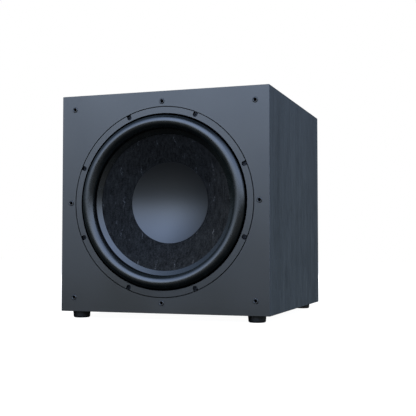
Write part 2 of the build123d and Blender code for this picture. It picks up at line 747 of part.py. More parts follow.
PLATE_CORNER = 8.0
KNOB_RADIUS = 9.5
KNOB_CLEARANCE = 0.8
KNOB_FLUTES = 18
KNOB_BORE_DEPTH = 7.0
SHAFT_RADIUS = 3.0
VOLUME_PLACE = (55.0, AXIS_Z + 95.0)
CROSSOVER_PLACE = (-5.0, AXIS_Z + 95.0)
PHASE_PLACE = (-58.0, AXIS_Z + 108.0)
AUTO_PLACE = (-58.0, AXIS_Z + 82.0)
LAMP_PLACE = (85.0, AXIS_Z + 112.0)
LAMP_RADIUS = 1.6
LAMP_PROUD = 1.2
RCA_PLACES = [(x, AXIS_Z + z) for x in (38.0, 62.0) for z in (15.0, 39.0)]
RCA_RADIUS = 4.15
RCA_ROOT_RADIUS = 4.6
RCA_CORE_RADIUS = 3.3
RCA_HOUSING_RADIUS = 6.0
RCA_COLLAR = 0.8
RCA_PROUD = 9.5
RCA_FLOOR = 6.0
INLET_CENTRE = (-50.0, AXIS_Z - 95.0)
INLET_SHELL = (27.0, 47.0)
INLET_FLANGE = (32.0, 52.0)
INLET_PROUD = 2.5
INLET_LENGTH = 24.0
CAVITY_OFFSET_Z = 8.0
CAVITY_SIZE = (25.0, 17.0)
CAVITY_DEPTH = 13.0
BLADE_SIZE = (2.0, 4.0)
BLADE_LENGTH = 10.0
DRAWER_CENTRE = (INLET_CENTRE[0], INLET_CENTRE[1] - 12.0)
DRAWER_SIZE = (22.0, 9.0)
DRAWER_DEPTH = 18.0
FUSE_Y = BACK_Y - 7.5
ROCKER_CENTRE = (20.0, AXIS_Z - 95.0)
ROCKER_SIZE = (11.0, 18.0)
ROCKER_BODY = (14.6, 21.6)
ROCKER_BEZEL = (17.5, 25.0)
ROCKER_TILT = 7.0
ROCKER_PIVOT_Y = BACK_Y - 3.0
TRUNNION_RADIUS = 1.2
SLIDER_SIZE = 4.0
PHASE_TRAVEL = 4.0
AUTO_TRAVEL = 8.0
TRAY_SKIN = 1.5
LEAD_EXITS = [(8.0, AXIS_Z + 60.0), (20.0, AXIS_Z + 60.0)]
LEAD_HOLE_RADIUS = 3.0
BOARD_THICKNESS = 1.6
MAIN_BOARD_SIZE = (176.0, 200.0)
MAIN_BOARD_CENTRE = (0.0, AXIS_Z - 10.0)
MAIN_BOARD_Y = ENCLOSURE_FRONT_Y + 10.0
MAIN_BOARD_BACK_Y = MAIN_BOARD_Y + BOARD_THICKNESS
INPUT_BOARD_Y = 215.0
STANDOFF_PLACES = [(sx * 80.0, MAIN_BOARD_CENTRE[1] + sz * 92.0) for sx in (-1, 1) for sz in (-1, 1)]
CAPACITOR_PLACES = [(-50.0 + 30.0 * step, AXIS_Z + 62.0) for step in range(4)]
THROUGH_PLATE = (PLATE_INNER_Y - PAST, BACK_Y + PAST)


def amp_plate():
    """Aluminium plate that carries every control and socket, flush with the back."""
    plate = rounded_plate(PLATE_WIDTH, PLATE_HEIGHT, PLATE_CORNER, (PLATE_INNER_Y, BACK_Y))
    for x, z in amp_screw_places():
        plate -= rod(x, z, AMP_SCREW_RADIUS + 0.35, *THROUGH_PLATE)
    for x, z in (VOLUME_PLACE, CROSSOVER_PLACE):
        plate -= rod(x, z, SHAFT_RADIUS + 0.6, *THROUGH_PLATE)
    for place, travel in ((PHASE_PLACE, PHASE_TRAVEL), (AUTO_PLACE, AUTO_TRAVEL)):
        plate -= centred(place, SLIDER_SIZE + travel + 1, SLIDER_SIZE + 1, THROUGH_PLATE)
    for x, z in RCA_PLACES:
        plate -= rod(x, z, RCA_HOUSING_RADIUS + 0.1, *THROUGH_PLATE)
    plate -= rod(*LAMP_PLACE, LAMP_RADIUS + 0.1, *THROUGH_PLATE)
    for centre, (width, height) in ((INLET_CENTRE, INLET_SHELL), (ROCKER_CENTRE, ROCKER_BODY)):
        plate -= centred(centre, width + 0.6, height + 0.6, THROUGH_PLATE)
    return plate


def amp_gasket():
    """Foam frame between the plate and the back panel."""
    inset = 1.0
    y_span = (PLATE_INNER_Y - AMP_GASKET, PLATE_INNER_Y)
    frame = rounded_plate(PLATE_WIDTH - 2 * inset, PLATE_HEIGHT - 2 * inset, PLATE_CORNER - inset, y_span)
    past_frame = (y_span[0] - PAST, y_span[1] + PAST)
    frame -= centred((0, AXIS_Z), *AMP_CUTOUT, past_frame)
    for x, z in amp_screw_places():
        frame -= rod(x, z, AMP_SCREW_RADIUS + 0.65, *past_frame)
    return frame


def amp_screw(x, z):
    """Black pan-head screw through the plate."""
    head_radius, head_height = 3.6, 2.2
    slot_long, slot_wide, slot_deep = 4.2, 0.9, 2.2
    head = rod(x, z, head_radius, BACK_Y, BACK_Y + head_height)
    head = fillet(head.faces().sort_by(Axis.Y)[-1].edges(), 1.2)
    head -= Pos(x, BACK_Y + head_height, z) * Box(slot_long, slot_deep, slot_wide)
    head -= Pos(x, BACK_Y + head_height, z) * Box(slot_wide, slot_deep, slot_long)
    return head + rod(x, z, AMP_SCREW_RADIUS, BACK_Y - AMP_SCREW_GRIP, BACK_Y)


def amp_enclosure():
    """Steel tray that seals the electronics from the cabinet's air."""
    width, height = AMP_CUTOUT[0] - 2, AMP_CUTOUT[1] - 2
    floor_y = ENCLOSURE_FRONT_Y + TRAY_SKIN
    tray = centred((0, AXIS_Z), width, height, (ENCLOSURE_FRONT_Y, PLATE_INNER_Y))
    hollow = (width - 2 * TRAY_SKIN, height - 2 * TRAY_SKIN)
    tray -= centred((0, AXIS_Z), *hollow, (floor_y, PLATE_INNER_Y + PAST))
    for x, z in LEAD_EXITS:
        tray -= rod(x, z, LEAD_HOLE_RADIUS, ENCLOSURE_FRONT_Y - PAST, floor_y + PAST)
    return tray


def board_standoff(x, z):
    """Hexagonal pillar between the tray and the main board."""
    start = ENCLOSURE_FRONT_Y + TRAY_SKIN
    return extrude(facing_back(x, start, z) * RegularPolygon(3, 6), MAIN_BOARD_Y - start)


def main_board():
    """Circuit board of the power supply and output stage."""
    return centred(MAIN_BOARD_CENTRE, *MAIN_BOARD_SIZE, (MAIN_BOARD_Y, MAIN_BOARD_BACK_Y))


def mains_transformer():
    """Wound core of the power supply: bobbin, winding and clamped core in one potted block."""
    centre = (40.0, MAIN_BOARD_CENTRE[1])
    core_back = MAIN_BOARD_BACK_Y + 30
    core = centred(centre, 46, 56, (MAIN_BOARD_BACK_Y, core_back))
    core = chamfer(core.edges().filter_by(Axis.Y), 3)
    return core + rod(*centre, 21, core_back, core_back + 8)


def reservoir_capacitor(x, z):
    """Electrolytic can with a rounded shoulder."""
    can = rod(x, z, 12.5, MAIN_BOARD_BACK_Y, MAIN_BOARD_BACK_Y + 40)
    return fillet(can.faces().sort_by(Axis.Y)[-1].edges(), 1.5)


def input_board():
    """Circuit board behind the controls and line sockets."""
    y_span = (INPUT_BOARD_Y - BOARD_THICKNESS, INPUT_BOARD_Y)
    return block((-78, 92), y_span, (AXIS_Z + 4, AXIS_Z + 124))


def control_knob(place):
    """Fluted knob with a pointer groove and a blind hole for its shaft."""
    x, z = place
    knob = rod(x, z, KNOB_RADIUS, BACK_Y + KNOB_CLEARANCE, KNOB_TIP_Y)
    knob = chamfer(knob.faces().sort_by(Axis.Y)[-1].edges(), 0.8)
    flute_radius, flute_circle, flute_end_y = 1.1, KNOB_RADIUS + 0.5, KNOB_TIP_Y - 1.6
    for step in range(KNOB_FLUTES):
        angle = radians(360 * (step + 0.5) / KNOB_FLUTES)
        flute_x, flute_z = x + flute_circle * cos(angle), z + flute_circle * sin(angle)
        knob -= rod(flute_x, flute_z, flute_radius, BACK_Y, flute_end_y)
    pointer = (x, z + KNOB_RADIUS / 2 + 1)
    knob -= centred(pointer, 1.2, KNOB_RADIUS - 1, (KNOB_TIP_Y - 0.6, KNOB_TIP_Y + PAST))
    return knob - rod(x, z, SHAFT_RADIUS + GLUE_GAP, BACK_Y, BACK_Y + KNOB_BORE_DEPTH)


def control_shaft(place):
    """Steel shaft that turns with its knob."""
    return rod(*place, SHAFT_RADIUS, INPUT_BOARD_Y + 4, BACK_Y + KNOB_BORE_DEPTH - 0.2)


def potentiometer(place):
    """Fixed body of a rotary control, soldered to the input board."""
    bush_start = INPUT_BOARD_Y + 9
    body = centred(place, 16, 16, (INPUT_BOARD_Y, bush_start))
    body += rod(*place, 4.4, bush_start, PLATE_INNER_Y - 0.2)
    return body - rod(*place, SHAFT_RADIUS + GLUE_GAP, INPUT_BOARD_Y + 3.8, PLATE_INNER_Y + PAST)


def slide_switch_body(place, travel):
    """Fixed body of a slide switch, open along its travel."""
    body = centred(place, 18, 9, (INPUT_BOARD_Y, PLATE_INNER_Y - 0.3))
    track = (INPUT_BOARD_Y + 3, PLATE_INNER_Y + PAST)
    return body - centred(place, SLIDER_SIZE + travel + 1, SLIDER_SIZE + 0.6, track)


def switch_slider(place, offset):
    """Ridged nub that slides along X, drawn at its rest position."""
    x, z = place[0] + offset, place[1]
    tip_y = BACK_Y + 3
    nub = centred((x, z), SLIDER_SIZE, SLIDER_SIZE, (INPUT_BOARD_Y + 3.3, tip_y))
    for step in (-1, 0, 1):
        nub -= centred((x + step * 1.1, z), 0.4, SLIDER_SIZE + PAST, (tip_y - 0.5, tip_y + PAST))
    return nub


def rca_barrel(x, z):
    """Plated barrel of a line socket, thicker where the housing holds it."""
    floor_y, tip_y = INPUT_BOARD_Y + RCA_FLOOR, BACK_Y + RCA_PROUD
    tube = rod(x, z, RCA_RADIUS, BACK_Y + RCA_COLLAR, tip_y)
    tube += rod(x, z, RCA_ROOT_RADIUS, floor_y, BACK_Y + RCA_COLLAR)
    return tube - rod(x, z, RCA_CORE_RADIUS, floor_y - PAST, tip_y + PAST)


def rca_insulator(x, z):
    """Coloured plastic core of a line socket with its contact hole."""
    core_end = BACK_Y + RCA_PROUD - 0.7
    core = rod(x, z, RCA_CORE_RADIUS - GLUE_GAP, INPUT_BOARD_Y + RCA_FLOOR, core_end)
    return core - rod(x, z, 1.65, BACK_Y - 4, core_end + PAST)


def rca_housing():
    """Moulded block behind the plate with a collar round each line socket."""
    margin = 9.0
    xs, zs = [x for x, _ in RCA_PLACES], [z for _, z in RCA_PLACES]
    x_span, z_span = (min(xs) - margin, max(xs) + margin), (min(zs) - margin, max(zs) + margin)
    body = block(x_span, (INPUT_BOARD_Y, PLATE_INNER_Y), z_span)
    bore_span = (INPUT_BOARD_Y + RCA_FLOOR - 0.1, BACK_Y + RCA_COLLAR + PAST)
    for x, z in RCA_PLACES:
        body += rod(x, z, RCA_HOUSING_RADIUS, PLATE_INNER_Y, BACK_Y + RCA_COLLAR)
        body -= rod(x, z, RCA_ROOT_RADIUS + GLUE_GAP, *bore_span)
    return body


def mains_inlet():
    """Three-pin inlet with a fuse slot below the mains cavity."""
    x, z = INLET_CENTRE
    mouth_y = BACK_Y + INLET_PROUD
    shell = centred(INLET_CENTRE, *INLET_SHELL, (BACK_Y - INLET_LENGTH, BACK_Y))
    flange = centred(INLET_CENTRE, *INLET_FLANGE, (BACK_Y, mouth_y))
    shell += fillet(flange.edges().filter_by(Axis.Y), 3)
    cavity = centred((x, z + CAVITY_OFFSET_Z), *CAVITY_SIZE, (BACK_Y - CAVITY_DEPTH, mouth_y + PAST))
    top_corners = cavity.edges().filter_by(Axis.Y).sort_by(Axis.Z)[-2:]
    shell -= chamfer(top_corners, 4)
    return shell - centred(DRAWER_CENTRE, *DRAWER_SIZE, (BACK_Y - DRAWER_DEPTH, mouth_y + PAST))


def inlet_blade_places():
    """World (x, z) of the three blades: two below, one above."""
    x, z = INLET_CENTRE[0], INLET_CENTRE[1] + CAVITY_OFFSET_Z
    return [(x - 7, z - 2), (x + 7, z - 2), (x, z + 2)]


def inlet_blade(x, z):
    """Blade that stands in the mains cavity on the inlet's floor."""
    floor_y = BACK_Y - CAVITY_DEPTH
    return centred((x, z), *BLADE_SIZE, (floor_y, floor_y + BLADE_LENGTH))


def fuse_drawer():
    """Small drawer that pulls out of the inlet with the fuse in it."""
    x, z = DRAWER_CENTRE
    clear = 0.3
    width, height = DRAWER_SIZE[0] - 2 * clear, DRAWER_SIZE[1] - 2 * clear
    face_y = BACK_Y + INLET_PROUD
    body = centred(DRAWER_CENTRE, width, height, (BACK_Y - DRAWER_DEPTH + 0.5, face_y))
    body -= centred((x, z + 1.5), 17, DRAWER_SIZE[1], (FUSE_Y - 3, FUSE_Y + 3))
    return body + centred((x, z + 1.5), 8, 1.2, (face_y, face_y + 1.2))


def fuse():
    """Glass cartridge fuse lying across the drawer."""
    x, z = DRAWER_CENTRE
    return Pos(x, FUSE_Y, z - 0.3) * Rot(0, 90, 0) * Cylinder(2.4, 16)


def trunnions(radius, length):
    """The axle along X that the mains switch's paddle tips on."""
    return Pos(ROCKER_CENTRE[0], ROCKER_PIVOT_Y, ROCKER_CENTRE[1]) * Rot(0, 90, 0) * Cylinder(radius, length)


def rocker_frame():
    """Bezel and body of the mains switch, with holes for the paddle's trunnions."""
    width, height = ROCKER_SIZE
    body = centred(ROCKER_CENTRE, *ROCKER_BODY, (BACK_Y - 16, BACK_Y))
    bezel = centred(ROCKER_CENTRE, *ROCKER_BEZEL, (BACK_Y, BACK_Y + 1.6))
    body += fillet(bezel.edges().filter_by(Axis.Y), 1.5)
    body -= centred(ROCKER_CENTRE, width + 1, height + 1, (BACK_Y - 11, BACK_Y + 3))
    return body - trunnions(TRUNNION_RADIUS + GLUE_GAP, width + 2.8)


def power_rocker():
    """See-saw paddle with two facets, drawn tipped to one side."""
    width, height = ROCKER_SIZE
    half, face, root = height / 2 - 0.3, 3.0, -4.0
    crest = face + half * tan(radians(ROCKER_TILT))
    side = Polyline((-half, root), (half, root), (half, crest), (0, face), (-half, crest), close=True)
    across = Plane(origin=(0, 0, 0), x_dir=(0, 0, 1), z_dir=(-1, 0, 0))
    paddle = extrude(across * make_face(side), (width - 0.4) / 2, both=True)
    pivot = Pos(ROCKER_CENTRE[0], ROCKER_PIVOT_Y, ROCKER_CENTRE[1])
    return pivot * Rot(ROCKER_TILT, 0, 0) * paddle + trunnions(TRUNNION_RADIUS, width + 2.4)


def status_lamp():
    """Clear lens of the status lamp."""
    lens = rod(*LAMP_PLACE, LAMP_RADIUS, INPUT_BOARD_Y, BACK_Y + LAMP_PROUD)
    return fillet(lens.faces().sort_by(Axis.Y)[-1].edges(), 1.1)


# ---------------------------------------------------------------- wiring

LEAD_RADIUS = 1.6


def post_end(side):
    """World point at the back of a terminal post."""
    angle = radians(LUG_ANGLE)
    x = LUG_RADIUS * cos(angle) - side * POST_OFFSET * sin(angle)
    z = AXIS_Z + LUG_RADIUS * sin(angle) + side * POST_OFFSET * cos(angle)
    return x, at(POST_COLLAR_DEPTH + POST_LENGTH), z


def driver_lead(side):
    """Insulated lead from a terminal post through the brace's window to the amplifier, sagging a little."""
    x, y, z = post_end(side)
    exit_x, exit_z = LEAD_EXITS[0 if side > 0 else 1]
    points = [
        (x, y, z),
        (x, y + 36, z),
        (x - 2, y + 84, z - 22),
        (x - 5, y + 132, z - 40),
        (exit_x + 12, y + 176, exit_z + 8),
        (exit_x, y + 228, exit_z),
        (exit_x, MAIN_BOARD_Y, exit_z),
    ]
    return swept_tube(points, LEAD_RADIUS)


# ---------------------------------------------------------------- everything, by node name


def build():
    """Every node of the subwoofer."""
    return {
        "front_baffle": front_baffle(),
        "inner_baffle": inner_baffle(),
        "right_side_panel": carcass_wall(0),
        "top_panel": carcass_wall(90),
        "left_side_panel": carcass_wall(180),
        "bottom_panel": bottom_wall(),
        "back_panel": back_panel(),
        "window_brace": window_brace(),
        "grille_sockets": group([grille_socket(x, z) for x, z in socket_places()]),
        "rubber_feet": group([rubber_foot(x, y) for x, y in foot_places()]),
        "foot_screws": group([foot_screw(x, y) for x, y in foot_places()]),
        "wadding": group([batt(side) for batt in (side_batt, level_batt) for side in (-1, 1)]),
        "trim_ring": trim_ring(),
        "driver_basket": driver_basket(),
        "driver_gasket": driver_gasket(),
        "driver_screws": group([driver_screw(angle) for angle in SCREW_ANGLES]),
        "tee_nuts": group([tee_nut(angle) for angle in SCREW_ANGLES]),
        "terminal_board": terminal_board(),
        "terminal_posts": group([terminal_post(side) for side in (-1, 1)]),
        "surround": surround(),
        "cone": cone(),
        "dust_cap": dust_cap(),
        "spider": spider(),
        "coil_former": coil_former(),
        "coil_winding": coil_winding(),
        "tinsel_leads": group([tinsel_lead(side) for side in (-1, 1)]),
        "top_plate": top_plate(),
        "ferrite_magnet": ferrite_magnet(),
        "pole_and_back_plate": pole_and_back_plate(),
        "magnet_boot": magnet_boot(),
        "amp_plate": amp_plate(),
        "amp_gasket": amp_gasket(),
        "amp_screws": group([amp_screw(x, z) for x, z in amp_screw_places()]),
        "amp_enclosure": amp_enclosure(),
        "board_standoffs": group([board_standoff(x, z) for x, z in STANDOFF_PLACES]),
        "main_board": main_board(),
        "mains_transformer": mains_transformer(),
        "reservoir_capacitors": group([reservoir_capacitor(x, z) for x, z in CAPACITOR_PLACES]),
        "input_board": input_board(),
        "volume_knob": control_knob(VOLUME_PLACE),
        "volume_shaft": control_shaft(VOLUME_PLACE),
        "crossover_knob": control_knob(CROSSOVER_PLACE),
        "crossover_shaft": control_shaft(CROSSOVER_PLACE),
        "potentiometers": group([potentiometer(place) for place in (VOLUME_PLACE, CROSSOVER_PLACE)]),
        "slide_switch_bodies": group(
            [slide_switch_body(PHASE_PLACE, PHASE_TRAVEL), slide_switch_body(AUTO_PLACE, AUTO_TRAVEL)]
        ),
        "phase_slider": switch_slider(PHASE_PLACE, -PHASE_TRAVEL / 2),
        "auto_slider": switch_slider(AUTO_PLACE, 0),
        "rca_barrels": group([rca_barrel(x, z) for x, z in RCA_PLACES]),
        "rca_insulators": group([rca_insulator(x, z) for x, z in RCA_PLACES]),
        "rca_housing": rca_housing(),
        "mains_inlet": mains_inlet(),
        "inlet_pins": group([inlet_blade(x, z) for x, z in inlet_blade_places()]),
        "fuse_drawer": fuse_drawer(),
        "fuse": fuse(),
        "rocker_frame": rocker_frame(),
        "power_rocker": power_rocker(),
        "status_lamp": status_lamp(),
        "driver_lead_red": driver_lead(1),
        "driver_lead_black": driver_lead(-1),
    }


os.makedirs("parts", exist_ok=True)
for node, shape in build().items():
    export_step(shape, f"parts/{node}.step")
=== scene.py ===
"""The looks of a powered subwoofer: satin front, black-ash sides, a large driver and an amplifier behind."""

import json
import math

import bmesh
import bpy
import numpy as np
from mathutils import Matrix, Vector, noise


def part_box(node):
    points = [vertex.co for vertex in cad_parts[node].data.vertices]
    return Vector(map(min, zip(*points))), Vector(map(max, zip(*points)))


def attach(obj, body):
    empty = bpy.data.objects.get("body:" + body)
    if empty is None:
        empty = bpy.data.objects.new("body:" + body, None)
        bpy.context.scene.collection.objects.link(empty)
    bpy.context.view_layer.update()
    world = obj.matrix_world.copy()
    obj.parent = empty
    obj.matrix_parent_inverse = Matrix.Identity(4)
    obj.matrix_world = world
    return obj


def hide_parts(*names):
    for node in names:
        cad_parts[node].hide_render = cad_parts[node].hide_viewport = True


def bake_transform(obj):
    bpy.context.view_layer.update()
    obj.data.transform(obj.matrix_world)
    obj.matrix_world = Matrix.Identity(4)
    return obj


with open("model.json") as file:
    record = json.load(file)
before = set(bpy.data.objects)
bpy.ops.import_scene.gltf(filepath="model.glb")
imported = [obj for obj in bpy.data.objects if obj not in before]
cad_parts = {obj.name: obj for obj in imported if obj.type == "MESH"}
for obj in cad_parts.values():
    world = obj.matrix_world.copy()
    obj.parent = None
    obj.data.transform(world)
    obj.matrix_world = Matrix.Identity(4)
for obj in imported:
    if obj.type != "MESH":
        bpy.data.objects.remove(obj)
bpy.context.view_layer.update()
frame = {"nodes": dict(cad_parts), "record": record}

MM = 0.001

# The front face and the driver's axis, read from the frame
BAFFLE_LOW, BAFFLE_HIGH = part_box("front_baffle")
FRONT_Y = BAFFLE_LOW.y
AXIS_Z = (BAFFLE_LOW.z + BAFFLE_HIGH.z) / 2

# Turned pieces: radii, and depths behind the front face, in millimetres
TURNS = 240
ROLL_RADIUS = 13.3
ROLL_CENTRE = (163.3, 3.3)
RUBBER = 2.0
LIP_OUTER, LIP_FRONT, LIP_BACK = 182.0, 4.5, 7.0
HINGE_RADIUS, HINGE_OUTER, HINGE_DEPTH = 177.6, 179.0, 6.4
CONE_RIM, CONE_RIM_DEPTH = 151.0, 10.0
CONE_NECK, CONE_NECK_DEPTH = 38.45, 69.0
CONE_THICKNESS = 1.8
BAND_INNER, BAND_THICKNESS = 139.5, 1.5
CAP_RADIUS, CAP_DISH, CAP_THICKNESS = 84.0, 20.0, 1.2
SPIDER_INNER, SPIDER_OUTER, SPIDER_SHELF = 38.45, 102.0, 94.0
SPIDER_DEPTH, SPIDER_HEIGHT, SPIDER_CLOTH, SPIDER_WAVES = 85.2, 2.2, 0.8, 6
CORNER_SOCKET, SIDE_SOCKET = 196.0, 204.0
LEAD_ANGLE, LEAD_OFFSET, LEAD_RADIUS = 67.5, 8.0, 1.0
LEAD_POST, LEAD_DEPTH, LEAD_TAIL_DEPTH, LEAD_END = 117.0, 76.0, 85.0, 38.8
LEAD_BEND, LEAD_LAY = 5.0, 11.0

# Radii within and past which the trim ring's edges carry painted shade, and the depth of the baffle's veneered
# edge, in millimetres
SHADE_INNER, SHADE_OUTER = 179.7, 192.0
EDGE_VENEER = 0.6

# Wadding and printed dial marks, in millimetres; the marks' pairs are for major and minor ones
BATT_THICKNESS, BATT_GAP, BATT_CELL = 21.5, 2.0, 8.0
MARK_RADIUS, MARK_LENGTHS, MARK_WIDTHS, MARK_PROUD = 11.8, (3.0, 1.8), (0.7, 0.4), 0.12


# ------------------------------------------------------------------ materials


class Finish:
    """A Principled material whose nodes are added one call at a time."""

    def __init__(self, name, color, roughness, **values):
        self.material = bpy.data.materials.new(name)
        self.material.use_nodes = True
        self.tree = self.material.node_tree
        self.shader = self.tree.nodes["Principled BSDF"]
        self.set(self.shader, {"Base Color": (*color, 1.0), "Roughness": roughness, **values})
        self.where = self.tree.nodes.new("ShaderNodeTexCoord").outputs["Object"]

    def set(self, node, inputs):
        for name, value in inputs.items():
            if isinstance(value, bpy.types.NodeSocket):
                self.tree.links.new(value, node.inputs[name])
            else:
                node.inputs[name].default_value = value

    def add(self, kind, inputs, **properties):
        node = self.tree.nodes.new("ShaderNode" + kind)
        for name, value in properties.items():
            setattr(node, name, value)
        self.set(node, inputs)
        return node

    def stretched(self, scale):
        """Object coordinates, in metres, multiplied on each axis."""
        return self.add("Mapping", {"Vector": self.where, "Scale": scale}).outputs["Vector"]

    def noise(self, scale, detail=3.0, roughness=0.5, stretch=None):
        """A noise value between 0 and 1; scale is cells per metre, before any stretch."""
        where = self.stretched(stretch) if stretch else self.where
        inputs = {"Vector": where, "Scale": scale, "Detail": detail, "Roughness": roughness}
        return self.add("TexNoise", inputs).outputs["Fac"]

    def from_axis(self):
        """Object coordinates, in metres, measured from the driver's axis with the depth left out."""
        flat = {"Vector": self.where, "Location": (0.0, 0.0, -AXIS_Z), "Scale": (1.0, 0.0, 1.0)}
        return self.add("Mapping", flat).outputs["Vector"]

    def radius(self):
        """How far each point lies from the driver's axis."""
        return self.add("VectorMath", {"Vector": self.from_axis()}, operation="LENGTH").outputs["Value"]

    def between(self, value, low, high, start=0.0, end=1.0):
        """Maps value from start..end to low..high, and holds it there outside."""
        inputs = {"Value": value, "From Min": start, "From Max": end, "To Min": low, "To Max": high}
        return self.add("MapRange", inputs).outputs["Result"]

    def math(self, operation, first, second):
        node = self.tree.nodes.new("ShaderNodeMath")
        node.operation = operation
        for socket, value in zip(node.inputs, (first, second)):
            if isinstance(value, bpy.types.NodeSocket):
                self.tree.links.new(value, socket)
            else:
                socket.default_value = value
        return node.outputs[0]

    def mix(self, factor, first, second):
        """A colour between two colours, each a tuple or a socket."""
        node = self.tree.nodes.new("ShaderNodeMix")
        node.data_type = "RGBA"
        sockets = (node.inputs[0], node.inputs[6], node.inputs[7])
        for socket, value in zip(sockets, (factor, first, second)):
            if isinstance(value, bpy.types.NodeSocket):
                self.tree.links.new(value, socket)
            elif isinstance(value, tuple):
                socket.default_value = (*value, 1.0)
            else:
                socket.default_value = value
        return node.outputs[2]

    def use(self, **sockets):
        """Links outputs to the shader, with spaces written as underscores."""
        for name, output in sockets.items():
            self.tree.links.new(output, self.shader.inputs[name.replace("_", " ")])

    def bump(self, *layers):
        """Stacks bump layers, each (height socket, depth in metres)."""
        normal = None
        for height, depth in layers:
            inputs = {"Height": height, "Strength": 1.0, "Distance": depth}
            if normal is not None:
                inputs["Normal"] = normal
            normal = self.add("Bump", inputs).outputs["Normal"]
        self.use(Normal=normal)


STAIN_DARK, STAIN_LIGHT = (0.0185, 0.0230, 0.0275), (0.050, 0.0595, 0.0715)
# Black used as painted shade on the trim ring's edges and in the grille sockets
SHADE_BLACK = (0.0015, 0.0015, 0.0015)


def satin_paint(name, veneered_past=None, shaded_edges=None):
    """Sprayed satin lacquer with faint orange peel.

    Past a distance from the middle, a board's edge is veneered. Within one radius and past another, a ring's
    edges carry painted shade: black, with almost no reflection.
    """
    color = (0.012, 0.0122, 0.011)
    finish = Finish(name, color, 0.31, **{"Specular IOR Level": 1.0})
    gloss = finish.between(finish.noise(7.0, detail=2.0), 0.28, 0.35, 0.3, 0.7)
    shade = finish.between(finish.noise(420.0, detail=2.0), 0.0, 1.0, 0.35, 0.65)
    coat = finish.mix(shade, color, tuple(0.94 * c for c in color))
    if veneered_past:
        split = finish.add("SeparateXYZ", {"Vector": finish.where})
        out = finish.math("ABSOLUTE", split.outputs["X"], 0.0)
        edge = finish.math("GREATER_THAN", out, veneered_past)
        streaks = finish.noise(1.0, detail=4.0, roughness=0.7, stretch=(330.0, 330.0, 7.0))
        stain = finish.mix(finish.between(streaks, 0.0, 1.0, 0.3, 0.7), STAIN_DARK, STAIN_LIGHT)
        coat = finish.mix(edge, coat, stain)
        gloss = finish.math("MAXIMUM", gloss, finish.math("MULTIPLY", edge, 0.55))
        finish.use(Specular_Tint=finish.between(edge, 1.0, 0.45))
    # Painted shade on the ring's inner and outer edges, where the gaps beside the ring lie in shadow: black
    # colour and almost no reflection
    if shaded_edges:
        inner, outer = shaded_edges
        radius = finish.radius()
        within, past = finish.math("LESS_THAN", radius, inner), finish.math("GREATER_THAN", radius, outer)
        edge_shade = finish.math("MAXIMUM", within, past)
        coat = finish.mix(edge_shade, coat, SHADE_BLACK)
        finish.use(Specular_Tint=finish.between(edge_shade, 1.0, 0.05))
    finish.use(Base_Color=coat, Roughness=gloss)
    finish.bump((finish.noise(650.0, detail=1.5), 0.00002))
    return finish.material


def ash_veneer(name, across, along):
    """Black-stained ash: soft bands, broken figure, fine streaks and open pores, all along one axis."""

    def grain(cells_across, cells_along):
        return tuple(cells_along if axis == along else cells_across for axis in "xyz")

    finish = Finish(name, STAIN_DARK, 0.55, **{"Specular IOR Level": 0.45})
    bands = finish.noise(1.0, detail=3.0, roughness=0.6, stretch=grain(30.0, 1.6))
    figure = finish.noise(1.0, detail=4.0, roughness=0.65, stretch=grain(105.0, 10.0))
    streaks = finish.noise(1.0, detail=4.0, roughness=0.7, stretch=grain(330.0, 20.0))
    pores = finish.noise(1.0, detail=2.0, roughness=0.6, stretch=grain(1500.0, 45.0))
    tone = finish.math("ADD", finish.math("MULTIPLY", bands, 0.25), finish.math("MULTIPLY", figure, 0.30))
    tone = finish.math("ADD", tone, finish.math("MULTIPLY", streaks, 0.45))
    stained = finish.mix(finish.between(tone, 0.0, 1.0, 0.37, 0.63), STAIN_DARK, STAIN_LIGHT)
    pore_mask = finish.between(pores, 1.0, 0.0, 0.30, 0.42)
    finish.use(Base_Color=finish.mix(pore_mask, stained, tuple(0.4 * c for c in STAIN_DARK)))
    finish.use(Roughness=finish.between(streaks, 0.45, 0.62, 0.3, 0.7))
    finish.bump((streaks, 0.00006), (finish.between(pores, 0.0, 1.0, 0.28, 0.45), 0.00008))
    return finish.material


def moulded(name, color, roughness, grain=900.0, depth=0.00002, **values):
    """Moulded rubber or plastic with a fine spark texture."""
    finish = Finish(name, color, roughness, **values)
    texture = finish.noise(grain, detail=2.0)
    finish.use(Roughness=finish.between(texture, roughness - 0.06, roughness + 0.08, 0.3, 0.7))
    patches = finish.between(finish.noise(35.0, detail=3.0), 0.0, 1.0, 0.35, 0.7)
    finish.use(Base_Color=finish.mix(patches, color, tuple(1.25 * c for c in color)))
    finish.bump((texture, depth))
    return finish.material


def roll_rubber():
    """The surround's rubber: smooth, with a broad sheen, a trace of dust, and painted shade in the creases
    beside the roll.
    """
    color = (0.0015, 0.0028, 0.0028)
    finish = Finish("roll_rubber", color, 0.27, **{"Specular IOR Level": 1.0})
    radius = finish.radius()
    # Painted shade in the creases at the roll's inner foot and at its hinge: near-black colour and almost no
    # reflection there
    crease_in = finish.between(radius, 0.0, 1.0, 0.1490, 0.1494)
    crease_out = finish.between(radius, 1.0, 0.0, 0.1501, 0.1505)
    hinge = finish.between(radius, 0.0, 1.0, 0.1754, 0.1762)
    crease_shade = finish.math("MAXIMUM", finish.math("MINIMUM", crease_in, crease_out), hinge)
    finish.use(Specular_Tint=finish.between(crease_shade, 1.0, 0.04))
    dust = finish.between(finish.noise(60.0, detail=5.0), 0.0, 1.0, 0.45, 0.75)
    dusted = finish.mix(dust, color, (0.0026, 0.0042, 0.0044))
    finish.use(Base_Color=finish.mix(crease_shade, dusted, (0.0008, 0.0008, 0.0010)))
    finish.use(Roughness=finish.between(dust, 0.25, 0.31))
    finish.bump((finish.noise(1400.0, detail=2.0), 0.000008))
    return finish.material


